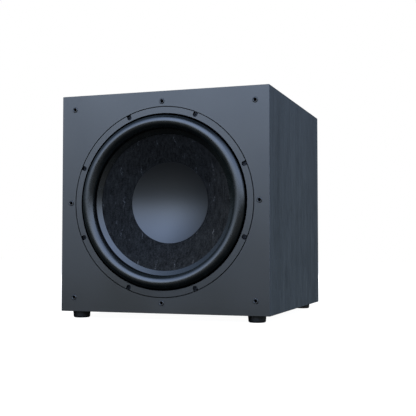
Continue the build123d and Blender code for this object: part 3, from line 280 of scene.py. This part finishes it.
def cone_fibre():
    """Long-fibre pulp: a mottled nap, vertical streaks, stray pale fibre ends and rows of pale stitches."""

    def near(value, pitch, half):
        """1 close to every multiple of pitch, 0 past half away from it."""
        return finish.between(finish.math("PINGPONG", value, pitch / 2), 1.0, 0.0, 0.6 * half, half)

    dark, light = (0.0010, 0.0010, 0.0009), (0.0112, 0.0112, 0.0103)
    finish = Finish("cone_fibre", dark, 0.78, **{"Specular IOR Level": 0.47})
    nap = finish.noise(430.0, detail=4.0, roughness=0.75)
    clouds = finish.noise(50.0, detail=4.0, roughness=0.6)
    streaks = finish.noise(1.0, detail=3.0, roughness=0.6, stretch=(260.0, 260.0, 40.0))
    tone = finish.math("ADD", finish.math("MULTIPLY", nap, 0.50), finish.math("MULTIPLY", streaks, 0.35))
    tone = finish.math("ADD", tone, finish.math("MULTIPLY", clouds, 0.15))
    pulp = finish.mix(finish.between(tone, 0.0, 1.0, 0.40, 0.62), dark, light)
    cells = finish.add("TexVoronoi", {"Vector": finish.stretched((1.0, 1.0, 0.24)), "Scale": 220.0})
    ends = finish.between(cells.outputs["Distance"], 1.0, 0.0, 0.12, 0.26)
    sparse = finish.between(finish.noise(70.0, detail=1.0), 0.0, 0.6, 0.60, 0.68)
    stray = finish.math("MULTIPLY", ends, sparse)
    split = finish.add("SeparateXYZ", {"Vector": finish.where})
    sway = finish.between(finish.noise(90.0, detail=1.0), -0.004, 0.004)
    column_pitch, row_pitch = 0.040, 0.064
    swayed = finish.math("ADD", finish.math("ADD", split.outputs["X"], sway), column_pitch / 2)
    column = near(swayed, column_pitch, 0.0016)
    row = near(finish.math("SUBTRACT", split.outputs["Z"], AXIS_Z), row_pitch, 0.012)
    stitch = finish.between(finish.noise(480.0, detail=1.0, stretch=(1.0, 1.0, 0.7)), 0.0, 1.0, 0.50, 0.60)
    stitch = finish.math("MULTIPLY", stitch, finish.math("MULTIPLY", column, row))
    flecks = finish.math("MAXIMUM", stray, stitch)
    finish.use(Base_Color=finish.mix(flecks, pulp, (0.062, 0.064, 0.066)))
    finish.use(Specular_Tint=finish.between(tone, 0.13 / 0.47, 1.0, 0.40, 0.62))
    finish.bump((nap, 0.0010), (streaks, 0.0006))
    return finish.material


def socket_plastic():
    """Grille sockets: smooth plastic, with painted shade in the hole and on the rim that meets the board."""
    color = (0.034, 0.034, 0.033)
    finish = Finish("socket_plastic", color, 0.34, **{"Specular IOR Level": 1.0})
    folded = finish.add("VectorMath", {"Vector": finish.from_axis()}, operation="ABSOLUTE").outputs["Vector"]
    away = None
    for place in ((CORNER_SOCKET, 0.0, CORNER_SOCKET), (SIDE_SOCKET, 0.0, 0.0), (0.0, 0.0, SIDE_SOCKET)):
        measure = finish.add("VectorMath", {"Vector": folded}, operation="DISTANCE")
        measure.inputs[1].default_value = tuple(MM * value for value in place)
        reach = measure.outputs["Value"]
        away = reach if away is None else finish.math("MINIMUM", away, reach)
    # Painted shade: black in the hole and on the outer rim, where shadow falls, and no reflection in the hole
    bore_shade = finish.between(away, 1.0, 0.0, 0.0027, 0.0032)
    rim = finish.between(away, 0.0, 1.0, 0.0040, 0.0044)
    finish.use(Base_Color=finish.mix(finish.math("MAXIMUM", bore_shade, rim), color, SHADE_BLACK))
    finish.use(Specular_Tint=finish.between(bore_shade, 1.0, 0.0))
    finish.bump((finish.noise(900.0, detail=2.0), 0.00001))
    return finish.material


def cap_fibre():
    """The dust cap's coated paper: nearly smooth, semi-matt."""
    color = (0.0085, 0.009, 0.0085)
    finish = Finish("cap_fibre", color, 0.36, **{"Specular IOR Level": 1.0})
    nap = finish.noise(800.0, detail=4.0, roughness=0.6)
    finish.use(Roughness=finish.between(nap, 0.33, 0.41, 0.3, 0.7))
    finish.use(Base_Color=finish.mix(finish.noise(30.0, detail=4.0), color, tuple(0.88 * c for c in color)))
    finish.bump((nap, 0.00003))
    return finish.material


def metal(name, color, roughness, stretch=(60.0, 60.0, 900.0)):
    """Metal with fine lay marks from rolling or turning."""
    finish = Finish(name, color, roughness, Metallic=1.0)
    lay = finish.noise(1.0, detail=3.0, roughness=0.6, stretch=stretch)
    finish.use(Roughness=finish.between(lay, roughness - 0.08, roughness + 0.12, 0.3, 0.7))
    finish.bump((lay, 0.00001))
    return finish.material


def powder_coat(name, color):
    """Textured powder coat on sheet metal."""
    finish = Finish(name, color, 0.5)
    grain = finish.noise(1100.0, detail=2.0)
    finish.use(Roughness=finish.between(grain, 0.42, 0.62, 0.3, 0.7))
    finish.use(Base_Color=finish.mix(finish.noise(500.0), color, tuple(1.3 * c for c in color)))
    finish.bump((grain, 0.00006))
    return finish.material


def board(name, dark, light, along, chip_scale):
    """Wood-fibre board: speckled chips with a slight lean along one axis."""
    finish = Finish(name, dark, 0.8)
    stretch = tuple(0.5 if axis == along else 1.0 for axis in "xyz")
    chips = finish.noise(chip_scale, detail=5.0, roughness=0.7, stretch=stretch)
    finish.use(Base_Color=finish.mix(finish.between(chips, 0.0, 1.0, 0.35, 0.65), dark, light))
    finish.bump((chips, 0.0001))
    return finish.material


def woven(name, color, pitch=0.0006):
    """Plain cloth weave on any surface, from two crossed waves."""
    finish = Finish(name, color, 0.9, **{"Sheen Weight": 0.2})
    inputs = {"Vector": finish.where, "Scale": 0.05 / pitch}
    waves = [finish.add("TexWave", inputs, bands_direction=axis) for axis in ("X", "Z")]
    weave = finish.math("MULTIPLY", *[wave.outputs["Fac"] for wave in waves])
    finish.use(Base_Color=finish.mix(weave, tuple(0.5 * c for c in color), color))
    finish.bump((weave, 0.00008))
    return finish.material


def socket_cores(divide):
    """Line-socket insulators: white for the left channel, red for the right, told apart by where they sit."""
    white, red = (0.65, 0.65, 0.63), (0.50, 0.02, 0.02)
    finish = Finish("line_socket_cores", white, 0.4)
    split = finish.add("SeparateXYZ", {"Vector": finish.where})
    left = finish.math("GREATER_THAN", split.outputs["X"], divide)
    finish.use(Base_Color=finish.mix(left, red, white))
    finish.bump((finish.noise(900.0, detail=2.0), 0.00002))
    return finish.material


def wadding_fibre():
    """Bonded polyester wadding."""
    color = (0.78, 0.80, 0.80)
    finish = Finish("wadding_fibre", color, 0.95, **{"Sheen Weight": 0.4})
    fibres = finish.noise(260.0, detail=6.0, roughness=0.8)
    finish.use(Base_Color=finish.mix(fibres, (0.62, 0.64, 0.65), color))
    finish.bump((fibres, 0.001))
    return finish.material


MATERIALS = {
    "baffle_paint": satin_paint("baffle_paint", veneered_past=BAFFLE_HIGH.x - EDGE_VENEER * MM),
    "trim_paint": satin_paint("trim_paint", shaded_edges=(SHADE_INNER * MM, SHADE_OUTER * MM)),
    "side_veneer": ash_veneer("side_veneer", "y", "z"),
    "level_veneer": ash_veneer("level_veneer", "x", "y"),
    "black_board": board("black_board", (0.013, 0.014, 0.015), (0.021, 0.022, 0.024), "x", 420.0),
    "raw_board": board("raw_board", (0.27, 0.18, 0.10), (0.50, 0.37, 0.24), "z", 240.0),
    "roll_rubber": roll_rubber(),
    "foot_rubber": moulded("foot_rubber", (0.003, 0.0032, 0.0032), 0.42),
    "cone_fibre": cone_fibre(),
    "cap_fibre": cap_fibre(),
    "socket_plastic": socket_plastic(),
    "legend_ink": moulded("legend_ink", (0.62, 0.63, 0.64), 0.55, grain=2500.0, depth=0.000005),
    "black_plastic": moulded("black_plastic", (0.014, 0.014, 0.016), 0.42),
    "knob_plastic": moulded("knob_plastic", (0.020, 0.020, 0.022), 0.32, grain=1500.0, depth=0.00001),
    "line_socket_cores": socket_cores(sum(corner.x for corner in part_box("rca_insulators")) / 2),
    "black_steel": metal("black_steel", (0.022, 0.023, 0.026), 0.38),
    "plated_steel": metal("plated_steel", (0.58, 0.58, 0.60), 0.30),
    "sheet_steel": metal("sheet_steel", (0.50, 0.51, 0.53), 0.35),
    "cast_frame": powder_coat("cast_frame", (0.020, 0.021, 0.023)),
    "amp_face": powder_coat("amp_face", (0.016, 0.017, 0.019)),
    "bare_aluminium": metal("bare_aluminium", (0.70, 0.71, 0.73), 0.28),
    "ferrite": moulded("ferrite", (0.05, 0.05, 0.055), 0.6, grain=400.0, depth=0.0001),
    "copper": metal("copper", (0.80, 0.38, 0.20), 0.30, stretch=(60.0, 1400.0, 60.0)),
    "gilt": metal("gilt", (0.86, 0.66, 0.30), 0.22),
    "cloth": woven("cloth", (0.55, 0.40, 0.18)),
    "gasket_foam": moulded("gasket_foam", (0.012, 0.012, 0.013), 0.9, grain=700.0, depth=0.0002),
    "wadding_fibre": wadding_fibre(),
    "circuit_board": moulded("circuit_board", (0.02, 0.14, 0.05), 0.35, grain=260.0),
    "transformer_core": moulded("transformer_core", (0.08, 0.07, 0.06), 0.45, grain=300.0),
    "can_sleeve": moulded("can_sleeve", (0.02, 0.025, 0.05), 0.3),
    "clear_glass": moulded("clear_glass", (0.85, 0.88, 0.90), 0.08, **{"Transmission Weight": 0.9}),
    "lamp_lens": moulded("lamp_lens", (0.05, 0.55, 0.12), 0.15, **{"Coat Weight": 0.5}),
    "red_insulation": moulded("red_insulation", (0.45, 0.02, 0.015), 0.35),
    "black_insulation": moulded("black_insulation", (0.015, 0.015, 0.015), 0.35),
}
SPECIAL = {
    "left_side_panel": "side_veneer",
    "right_side_panel": "side_veneer",
    "top_panel": "level_veneer",
    "bottom_panel": "level_veneer",
    "volume_knob": "knob_plastic",
    "crossover_knob": "knob_plastic",
}


def paint(piece, material):
    piece.data.materials.clear()
    piece.data.materials.append(material)


def finish_cad_nodes():
    """Gives every carried-over node the procedural material of its slot."""
    slots = {part["node"]: part["material_slot"] for part in frame["record"]["subparts"]}
    for name, node in frame["nodes"].items():
        paint(node, MATERIALS[SPECIAL.get(name, slots[name])])


# ------------------------------------------------------------------ turned and soft pieces


def piece(name, mesh, slot, material):
    """A new object in the scene with its material, smooth faces and crisp corners; slot is not used."""
    mesh.shade_smooth()
    mesh.set_sharp_from_angle(angle=math.radians(38))
    thing = bpy.data.objects.new(name, mesh)
    bpy.context.collection.objects.link(thing)
    paint(thing, MATERIALS[material])
    return thing


def lathe(name, profile, slot, material):
    """Turns a closed loop of (radius, depth) points round the driver's axis.

    Points on the axis are shared by all the turns.
    """
    verts, rings = [], []
    for radius, depth in profile:
        y = FRONT_Y + depth * MM
        if radius == 0:
            rings.append([len(verts)] * TURNS)
            verts.append((0, y, AXIS_Z))
            continue
        rings.append(list(range(len(verts), len(verts) + TURNS)))
        for turn in range(TURNS):
            angle = 2 * math.pi * turn / TURNS
            verts.append((radius * MM * math.cos(angle), y, AXIS_Z + radius * MM * math.sin(angle)))
    faces = []
    for here, after in zip(rings, rings[1:] + rings[:1]):
        for turn in range(TURNS):
            beside = (turn + 1) % TURNS
            corners = [here[turn], after[turn], after[beside], here[beside]]
            face = list(dict.fromkeys(corners))
            if len(face) > 2:
                faces.append(face)
    mesh = bpy.data.meshes.new(name)
    mesh.from_pydata(verts, [], faces)
    shape = bmesh.new()
    shape.from_mesh(mesh)
    bmesh.ops.recalc_face_normals(shape, faces=shape.faces)
    shape.to_mesh(mesh)
    shape.free()
    return piece(name, mesh, slot, material)


def arc(centre, radius, start, end, steps):
    """Points on an arc in (radius, depth); 0 degrees points outward and 90 towards the listener."""
    angles = [math.radians(start + (end - start) * step / steps) for step in range(steps + 1)]
    return [(centre[0] + radius * math.cos(a), centre[1] - radius * math.sin(a)) for a in angles]


def eased(points, radius, steps=5):
    """A closed loop of points with each (x, y, ease) corner rounded by its own share of radius."""
    rounded = []
    for index, (x, y, ease) in enumerate(points):
        if not ease:
            rounded.append((x, y))
            continue
        here = Vector((x, y))
        before = Vector(points[index - 1][:2]) - here
        after = Vector(points[(index + 1) % len(points)][:2]) - here
        reach = min(ease * radius, 0.45 * before.length, 0.45 * after.length)
        start, end = here + before.normalized() * reach, here + after.normalized() * reach
        for step in range(steps + 1):
            t = step / steps
            point = (1 - t) ** 2 * start + 2 * t * (1 - t) * here + t**2 * end
            rounded.append((point.x, point.y))
    return rounded


def cone_depth(radius):
    """Depth of the cone's front surface at a radius."""
    slope = (CONE_NECK_DEPTH - CONE_RIM_DEPTH) / (CONE_RIM - CONE_NECK)
    return CONE_RIM_DEPTH + (CONE_RIM - radius) * slope


def blend_radially(thing):
    """Bakes a turned piece's placement into its mesh."""
    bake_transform(thing)


def make_surround():
    """Half roll with a hinge groove, a lip under the trim ring and a band glued to the cone's edge."""
    centre, outer, inner = ROLL_CENTRE, ROLL_RADIUS, ROLL_RADIUS - RUBBER
    roll_out, roll_in = centre[0] + outer, centre[0] - outer
    rim_front = cone_depth(CONE_RIM) - BAND_THICKNESS
    band_front = cone_depth(BAND_INNER) - BAND_THICKNESS
    top = arc(centre, outer, 180, 0, 48)
    lip = eased(
        [
            (roll_out, centre[1], 0),
            (HINGE_RADIUS, HINGE_DEPTH, 1),
            (HINGE_OUTER, LIP_FRONT, 1),
            (LIP_OUTER, LIP_FRONT, 1),
            (LIP_OUTER, LIP_BACK, 1),
            (centre[0] + inner, LIP_BACK, 1),
            (centre[0] + inner, centre[1], 0),
        ],
        0.6,
    )
    under = arc(centre, inner, 0, 180, 40)
    band = eased(
        [
            (centre[0] - inner, centre[1], 0),
            (centre[0] - inner, CONE_RIM_DEPTH, 1),
            (CONE_RIM, CONE_RIM_DEPTH - 0.05, 0),
            (BAND_INNER, cone_depth(BAND_INNER) - 0.05, 1),
            (BAND_INNER, band_front, 1),
            (roll_in - 0.2, rim_front, 1),
            (roll_in, centre[1], 0),
        ],
        0.8,
    )
    profile = top[:-1] + lip[:-1] + under[:-1] + band[:-1]
    surround = lathe("surround_roll", profile, "roll_rubber", "roll_rubber")
    blend_radially(surround)
    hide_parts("surround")


def make_cone():
    """Shallow fibre cone with an eased rim."""
    profile = eased(
        [
            (CONE_RIM, CONE_RIM_DEPTH, 1),
            (CONE_RIM, CONE_RIM_DEPTH + CONE_THICKNESS, 1),
            (CONE_NECK, cone_depth(CONE_NECK) + CONE_THICKNESS, 0),
            (CONE_NECK, cone_depth(CONE_NECK), 0),
        ],
        0.5,
    )
    steps = 24
    radii = [CONE_NECK + (CONE_RIM - CONE_NECK) * step / steps for step in range(1, steps)]
    profile += [(radius, cone_depth(radius)) for radius in radii]
    cone = lathe("cone_skin", profile, "cone_fibre", "cone_fibre")
    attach(cone, "cone_assembly")
    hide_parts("cone")


def make_dust_cap():
    """Inward-dished cap with a crisp edge on the cone."""
    rim = cone_depth(CAP_RADIUS) - CAP_THICKNESS - 0.1
    bowl = (CAP_RADIUS**2 + CAP_DISH**2) / (2 * CAP_DISH)
    steps = 40

    def dish(radius):
        return CAP_DISH - bowl + math.sqrt(bowl**2 - radius**2)

    radii = [CAP_RADIUS * (1 - step / steps) for step in range(steps + 1)]
    front = [(radius, rim + dish(radius)) for radius in radii]
    back = [(radius, depth + CAP_THICKNESS) for radius, depth in reversed(front)]
    cap = lathe("dust_cap_skin", front + back, "cap_fibre", "cap_fibre")
    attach(cap, "cone_assembly")
    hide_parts("dust_cap")


def make_spider():
    """Corrugated cloth disc whose waves fade out at the shelf."""
    start, end = SPIDER_INNER + 6.0, SPIDER_SHELF
    steps = 96

    def offset(radius):
        share = (radius - start) / (end - start)
        if not 0 < share < 1:
            return 0.0
        fade = min(1.0, 8 * share, 8 * (1 - share))
        return SPIDER_HEIGHT * math.sin(2 * math.pi * SPIDER_WAVES * share) * fade

    waved = [start + (end - start) * step / steps for step in range(steps + 1)]
    radii = [SPIDER_INNER, *waved, SPIDER_OUTER]
    front = [(radius, SPIDER_DEPTH + offset(radius)) for radius in radii]
    back = [(radius, depth + SPIDER_CLOTH) for radius, depth in reversed(front)]
    spider = lathe("spider_cloth", front + back, "cloth", "cloth")
    blend_radially(spider)
    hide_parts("spider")


def make_tinsel_lead(name, side):
    """Plaited lead from the terminal's tail to the coil's former: four strands wound round a smooth route."""
    along = Vector((math.cos(math.radians(LEAD_ANGLE)), 0, math.sin(math.radians(LEAD_ANGLE))))
    beside = Vector((-along.z, 0, along.x)) * side * LEAD_OFFSET * MM
    axis = Vector((0, FRONT_Y, AXIS_Z)) + beside

    def place(radius, depth):
        return axis + along * radius * MM + Vector((0, depth * MM, 0))

    corner = place(LEAD_POST, LEAD_DEPTH)
    start, end = place(LEAD_POST, LEAD_TAIL_DEPTH), place(LEAD_END, LEAD_DEPTH)
    turn_in, turn_out = place(LEAD_POST, LEAD_DEPTH + LEAD_BEND), place(LEAD_POST - LEAD_BEND, LEAD_DEPTH)
    route = [start.lerp(turn_in, step / 6) for step in range(6)]
    for t in (0, 0.25, 0.5, 0.75):
        route.append((1 - t) ** 2 * turn_in + 2 * t * (1 - t) * corner + t * t * turn_out)
    route += [turn_out.lerp(end, step / 60) for step in range(61)]
    shape = bmesh.new()
    strands, sides, strand_radius = 4, 8, 0.42 * LEAD_RADIUS * MM
    wind_radius = LEAD_RADIUS * MM - strand_radius
    for strand in range(strands):
        rings, run = [], 0.0
        for index, point in enumerate(route):
            ahead = (route[min(index + 1, len(route) - 1)] - route[max(index - 1, 0)]).normalized()
            run += (point - route[index - 1]).length if index else 0.0
            side_on = beside.normalized()
            up = ahead.cross(side_on)
            phase = 2 * math.pi * (strand / strands + run / (LEAD_LAY * MM))
            middle = point + wind_radius * (math.cos(phase) * side_on + math.sin(phase) * up)
            angles = [2 * math.pi * step / sides for step in range(sides)]
            circle = [strand_radius * (math.cos(a) * side_on + math.sin(a) * up) for a in angles]
            rings.append([shape.verts.new(middle + spoke) for spoke in circle])
        for here, after in zip(rings, rings[1:]):
            for step in range(sides):
                beyond = (step + 1) % sides
                shape.faces.new((here[step], here[beyond], after[beyond], after[step]))
        shape.faces.new(list(reversed(rings[0])))
        shape.faces.new(rings[-1])
    bmesh.ops.recalc_face_normals(shape, faces=shape.faces)
    mesh = bpy.data.meshes.new(name)
    shape.to_mesh(mesh)
    shape.free()
    lead = piece(name, mesh, "copper", "copper")
    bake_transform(lead)
    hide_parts("tinsel_leads")


def make_batt(name, low, high, seed):
    """A crowned wadding pad whose edges pull in and whose faces are lofty and uneven."""
    low, high = Vector(low), Vector(high)
    middle, half = (low + high) / 2, (high - low) / 2
    thin = min(range(3), key=lambda axis: half[axis])
    full, edge_fall, lofts_per_metre = 0.86, 0.55, 28.0
    shape = bmesh.new()
    bmesh.ops.create_cube(shape, size=2.0)
    for axis in range(3):
        cuts = max(2, round(2 * half[axis] / (BATT_CELL * MM)))
        plane_normal = Vector([1.0 if index == axis else 0.0 for index in range(3)])
        for cut in range(1, cuts):
            geometry = shape.verts[:] + shape.edges[:] + shape.faces[:]
            offset = plane_normal * (2 * cut / cuts - 1)
            bmesh.ops.bisect_plane(shape, geom=geometry, plane_co=offset, plane_no=plane_normal)
    for vertex in shape.verts:
        at = vertex.co.copy()
        outward = max(abs(value) for index, value in enumerate(at) if index != thin)
        crown = 1.0 - edge_fall * max(0.0, (outward - full) / (1.0 - full)) ** 2
        loft = noise.noise((at * half + Vector((seed, 0, 0))) * lofts_per_metre)
        scaled = Vector([at[index] * half[index] * (crown if index == thin else 0.992) for index in range(3)])
        scaled[thin] *= 0.90 + 0.07 * loft
        vertex.co = middle + scaled
    mesh = bpy.data.meshes.new(name)
    shape.to_mesh(mesh)
    shape.free()
    batt = piece(name, mesh, "wadding_fibre", "wadding_fibre")
    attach(batt, "cabinet")
    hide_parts("wadding")


def make_wadding():
    """Four pads that line the rear chamber's walls."""
    low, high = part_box("wadding")
    thick = BATT_THICKNESS * MM
    inner = high.x - thick - BATT_GAP * MM
    spans = {
        "batt_left": ((low.x, low.y, low.z), (low.x + thick, high.y, high.z)),
        "batt_right": ((high.x - thick, low.y, low.z), (high.x, high.y, high.z)),
        "batt_bottom": ((-inner, low.y, low.z), (inner, high.y, low.z + thick)),
        "batt_top": ((-inner, low.y, high.z - thick), (inner, high.y, high.z)),
    }
    for seed, (name, (corner, opposite)) in enumerate(spans.items()):
        make_batt(name, corner, opposite, seed)


def make_dial_marks(name, knob, first, last, count):
    """Printed ticks round a knob, with a longer one at each end and in the middle."""
    low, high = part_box(knob)
    centre = (low + high) / 2
    plate_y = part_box("amp_plate")[1].y
    shape = bmesh.new()
    for step in range(count):
        angle = math.radians(first + (last - first) * step / (count - 1))
        minor = step not in (0, count // 2, count - 1)
        outward = Vector((math.sin(angle), 0, math.cos(angle)))
        across = Vector((outward.z, 0, -outward.x)) * MARK_WIDTHS[minor] * MM / 2
        base = Vector((centre.x, plate_y, centre.z))
        foot, tip = outward * MARK_RADIUS * MM, outward * (MARK_RADIUS + MARK_LENGTHS[minor]) * MM
        rim = [foot - across, foot + across, tip + across, tip - across]
        low_ring = [shape.verts.new(base + corner) for corner in rim]
        high_ring = [shape.verts.new(base + corner + Vector((0, MARK_PROUD * MM, 0))) for corner in rim]
        shape.faces.new(high_ring)
        shape.faces.new(list(reversed(low_ring)))
        for index in range(4):
            after = (index + 1) % 4
            shape.faces.new((low_ring[index], low_ring[after], high_ring[after], high_ring[index]))
    bmesh.ops.recalc_face_normals(shape, faces=shape.faces)
    mesh = bpy.data.meshes.new(name)
    shape.to_mesh(mesh)
    shape.free()
    marks = piece(name, mesh, "line_socket_cores", "legend_ink")
    mesh.shade_flat()
    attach(marks, "cabinet")


# ------------------------------------------------------------------ studio


# Colours of the studio against the sine of elevation
WORLD_CLIMB = [
    (-1.0, (0.01, 0.01, 0.01)),
    (-0.78, (0.01, 0.01, 0.01)),
    (-0.50, (0.03, 0.031, 0.032)),
    (-0.22, (0.12, 0.122, 0.12)),
    (-0.06, (0.02, 0.02, 0.01)),
    (0.03, (0.14, 0.135, 0.09)),
    (0.13, (0.94, 1.12, 1.38)),
    (0.34, (1.04, 1.31, 1.86)),
    (0.60, (0.76, 1.03, 1.62)),
    (0.82, (0.54, 0.73, 1.12)),
    (0.92, (0.05, 0.07, 0.10)),
    (1.0, (0.01, 0.01, 0.02)),
]
# Levels of the studio against azimuth in degrees: 0 is straight in front of the driver and 90 is to its right
WORLD_ROUND = [
    (-180, 0.06),
    (-150, 0.02),
    (-115, 0.03),
    (-80, 0.09),
    (-50, 0.47),
    (-20, 1.00),
    (5, 0.80),
    (35, 0.70),
    (110, 0.62),
    (145, 0.08),
    (180, 0.06),
]
WORLD_STRENGTH = 2.06


# Name, place, target, size in metres, power in watts and colour; only the key light shows in reflections
LIGHTS = [
    ("key", (0.1, -1.5, 1.5), (0, -0.2, 0.3), (1.6, 0.9), 3.0, (0.75, 0.9, 1.25)),
    ("glancing", (-1.6, -0.62, 1.5), (0, -0.2, 0.24), (0.4, 0.4), 78.0, (1.0, 0.98, 0.94)),
    ("back_fill", (-0.6, 2.3, 1.1), (0, 0.2, 0.24), (1.4, 1.0), 130.0, (1.0, 0.98, 0.95)),
    ("side_fill", (1.1, 0.1, 0.08), (0, 0.0, 0.08), (1.2, 0.14), 5.6, (1.0, 0.97, 0.70)),
]


def area_light(name, place, target, size, power, color):
    light = bpy.data.lights.new(name, "AREA")
    light.shape = "RECTANGLE"
    light.size, light.size_y = size
    light.energy = power
    light.color = color
    lamp = bpy.data.objects.new(name, light)
    lamp.location = place
    lamp.rotation_euler = (Vector(target) - Vector(place)).to_track_quat("-Z", "Y").to_euler()
    lamp.visible_camera = False
    lamp.visible_glossy = name == "key"
    bpy.context.collection.objects.link(lamp)


def studio_world():
    """White to the camera; to the object, soft light from front left to right, over a dark floor."""
    world = bpy.data.worlds.new("studio")
    world.use_nodes = True
    bpy.context.scene.world = world
    tree = world.node_tree
    tree.nodes.clear()
    new, link = tree.nodes.new, tree.links.new
    direction = new("ShaderNodeTexCoord")
    split = new("ShaderNodeSeparateXYZ")
    link(direction.outputs["Generated"], split.inputs[0])

    def ramp(value, low, high, stops):
        spread = new("ShaderNodeMapRange")
        spread.inputs["From Min"].default_value = low
        spread.inputs["From Max"].default_value = high
        link(value, spread.inputs["Value"])
        curve = new("ShaderNodeValToRGB")
        elements = curve.color_ramp.elements
        elements[0].position, elements[1].position = stops[0][0], stops[-1][0]
        for position, _ in stops[1:-1]:
            elements.new(position)
        for element, (_, color) in zip(elements, stops):
            element.color = (*color, 1.0)
        link(spread.outputs["Result"], curve.inputs["Fac"])
        return curve.outputs["Color"]

    climb = ramp(split.outputs["Z"], -1.0, 1.0, [((sine + 1) / 2, color) for sine, color in WORLD_CLIMB])
    ahead = new("ShaderNodeMath")
    ahead.operation = "MULTIPLY"
    link(split.outputs["Y"], ahead.inputs[0])
    ahead.inputs[1].default_value = -1.0
    azimuth = new("ShaderNodeMath")
    azimuth.operation = "ARCTAN2"
    link(split.outputs["X"], azimuth.inputs[0])
    link(ahead.outputs[0], azimuth.inputs[1])
    levels = [((angle + 180) / 360, (level,) * 3) for angle, level in WORLD_ROUND]
    facing = ramp(azimuth.outputs[0], -math.pi, math.pi, levels)
    lit = new("ShaderNodeBackground")
    lit.inputs["Strength"].default_value = WORLD_STRENGTH
    product = new("ShaderNodeMix")
    product.data_type = "RGBA"
    product.blend_type = "MULTIPLY"
    product.inputs[0].default_value = 1.0
    link(climb, product.inputs[6])
    link(facing, product.inputs[7])
    link(product.outputs[2], lit.inputs["Color"])
    seen = new("ShaderNodeBackground")
    seen.inputs["Color"].default_value = (1.0, 1.0, 1.0, 1.0)
    path = new("ShaderNodeLightPath")
    both = new("ShaderNodeMixShader")
    link(path.outputs["Is Camera Ray"], both.inputs[0])
    link(lit.outputs[0], both.inputs[1])
    link(seen.outputs[0], both.inputs[2])
    link(both.outputs[0], new("ShaderNodeOutputWorld").inputs["Surface"])


def studio_floor():
    """A white floor that throws no light back."""
    half = 6.0
    mesh = bpy.data.meshes.new("floor")
    corners = [(-half, -half, 0), (half, -half, 0), (half, half, 0), (-half, half, 0)]
    mesh.from_pydata(corners, [], [(0, 1, 2, 3)])
    floor = bpy.data.objects.new("floor", mesh)
    bpy.context.collection.objects.link(floor)
    material = bpy.data.materials.new("pale_floor")
    material.use_nodes = True
    shader = material.node_tree.nodes["Principled BSDF"]
    shader.inputs["Base Color"].default_value = (0.1, 0.1, 0.1, 1.0)
    shader.inputs["Roughness"].default_value = 0.9
    shader.inputs["Emission Color"].default_value = (1.0, 1.0, 1.0, 1.0)
    shader.inputs["Emission Strength"].default_value = 0.97
    paint(floor, material)
    floor.visible_diffuse = False
    floor.visible_glossy = False


def studio_camera():
    """Stands right of the driver's axis, a little below it, and looks slightly up."""
    to_right, ahead, above_base = 0.6332, 1.5646, 0.1349
    tilt_up, turn_left = 2.62, 18.855
    camera = bpy.data.cameras.new("camera")
    camera.sensor_width = 36.0
    camera.lens = 72.42
    eye = bpy.data.objects.new("camera", camera)
    eye.location = (to_right, FRONT_Y - ahead, BAFFLE_LOW.z + above_base)
    eye.rotation_euler = (math.radians(90 + tilt_up), 0.0, math.radians(turn_left))
    bpy.context.collection.objects.link(eye)
    bpy.context.scene.camera = eye


bpy.context.scene.view_settings.view_transform = "Standard"
finish_cad_nodes()
make_surround()
make_cone()
make_dust_cap()
make_spider()
for name, side in (("tinsel_lead_a", 1), ("tinsel_lead_b", -1)):
    make_tinsel_lead(name, side)
make_wadding()
make_dial_marks("volume_marks", "volume_knob", -150, 150, 11)
make_dial_marks("crossover_marks", "crossover_knob", -150, 150, 11)
studio_world()
studio_floor()
studio_camera()
for light in LIGHTS:
    area_light(*light)
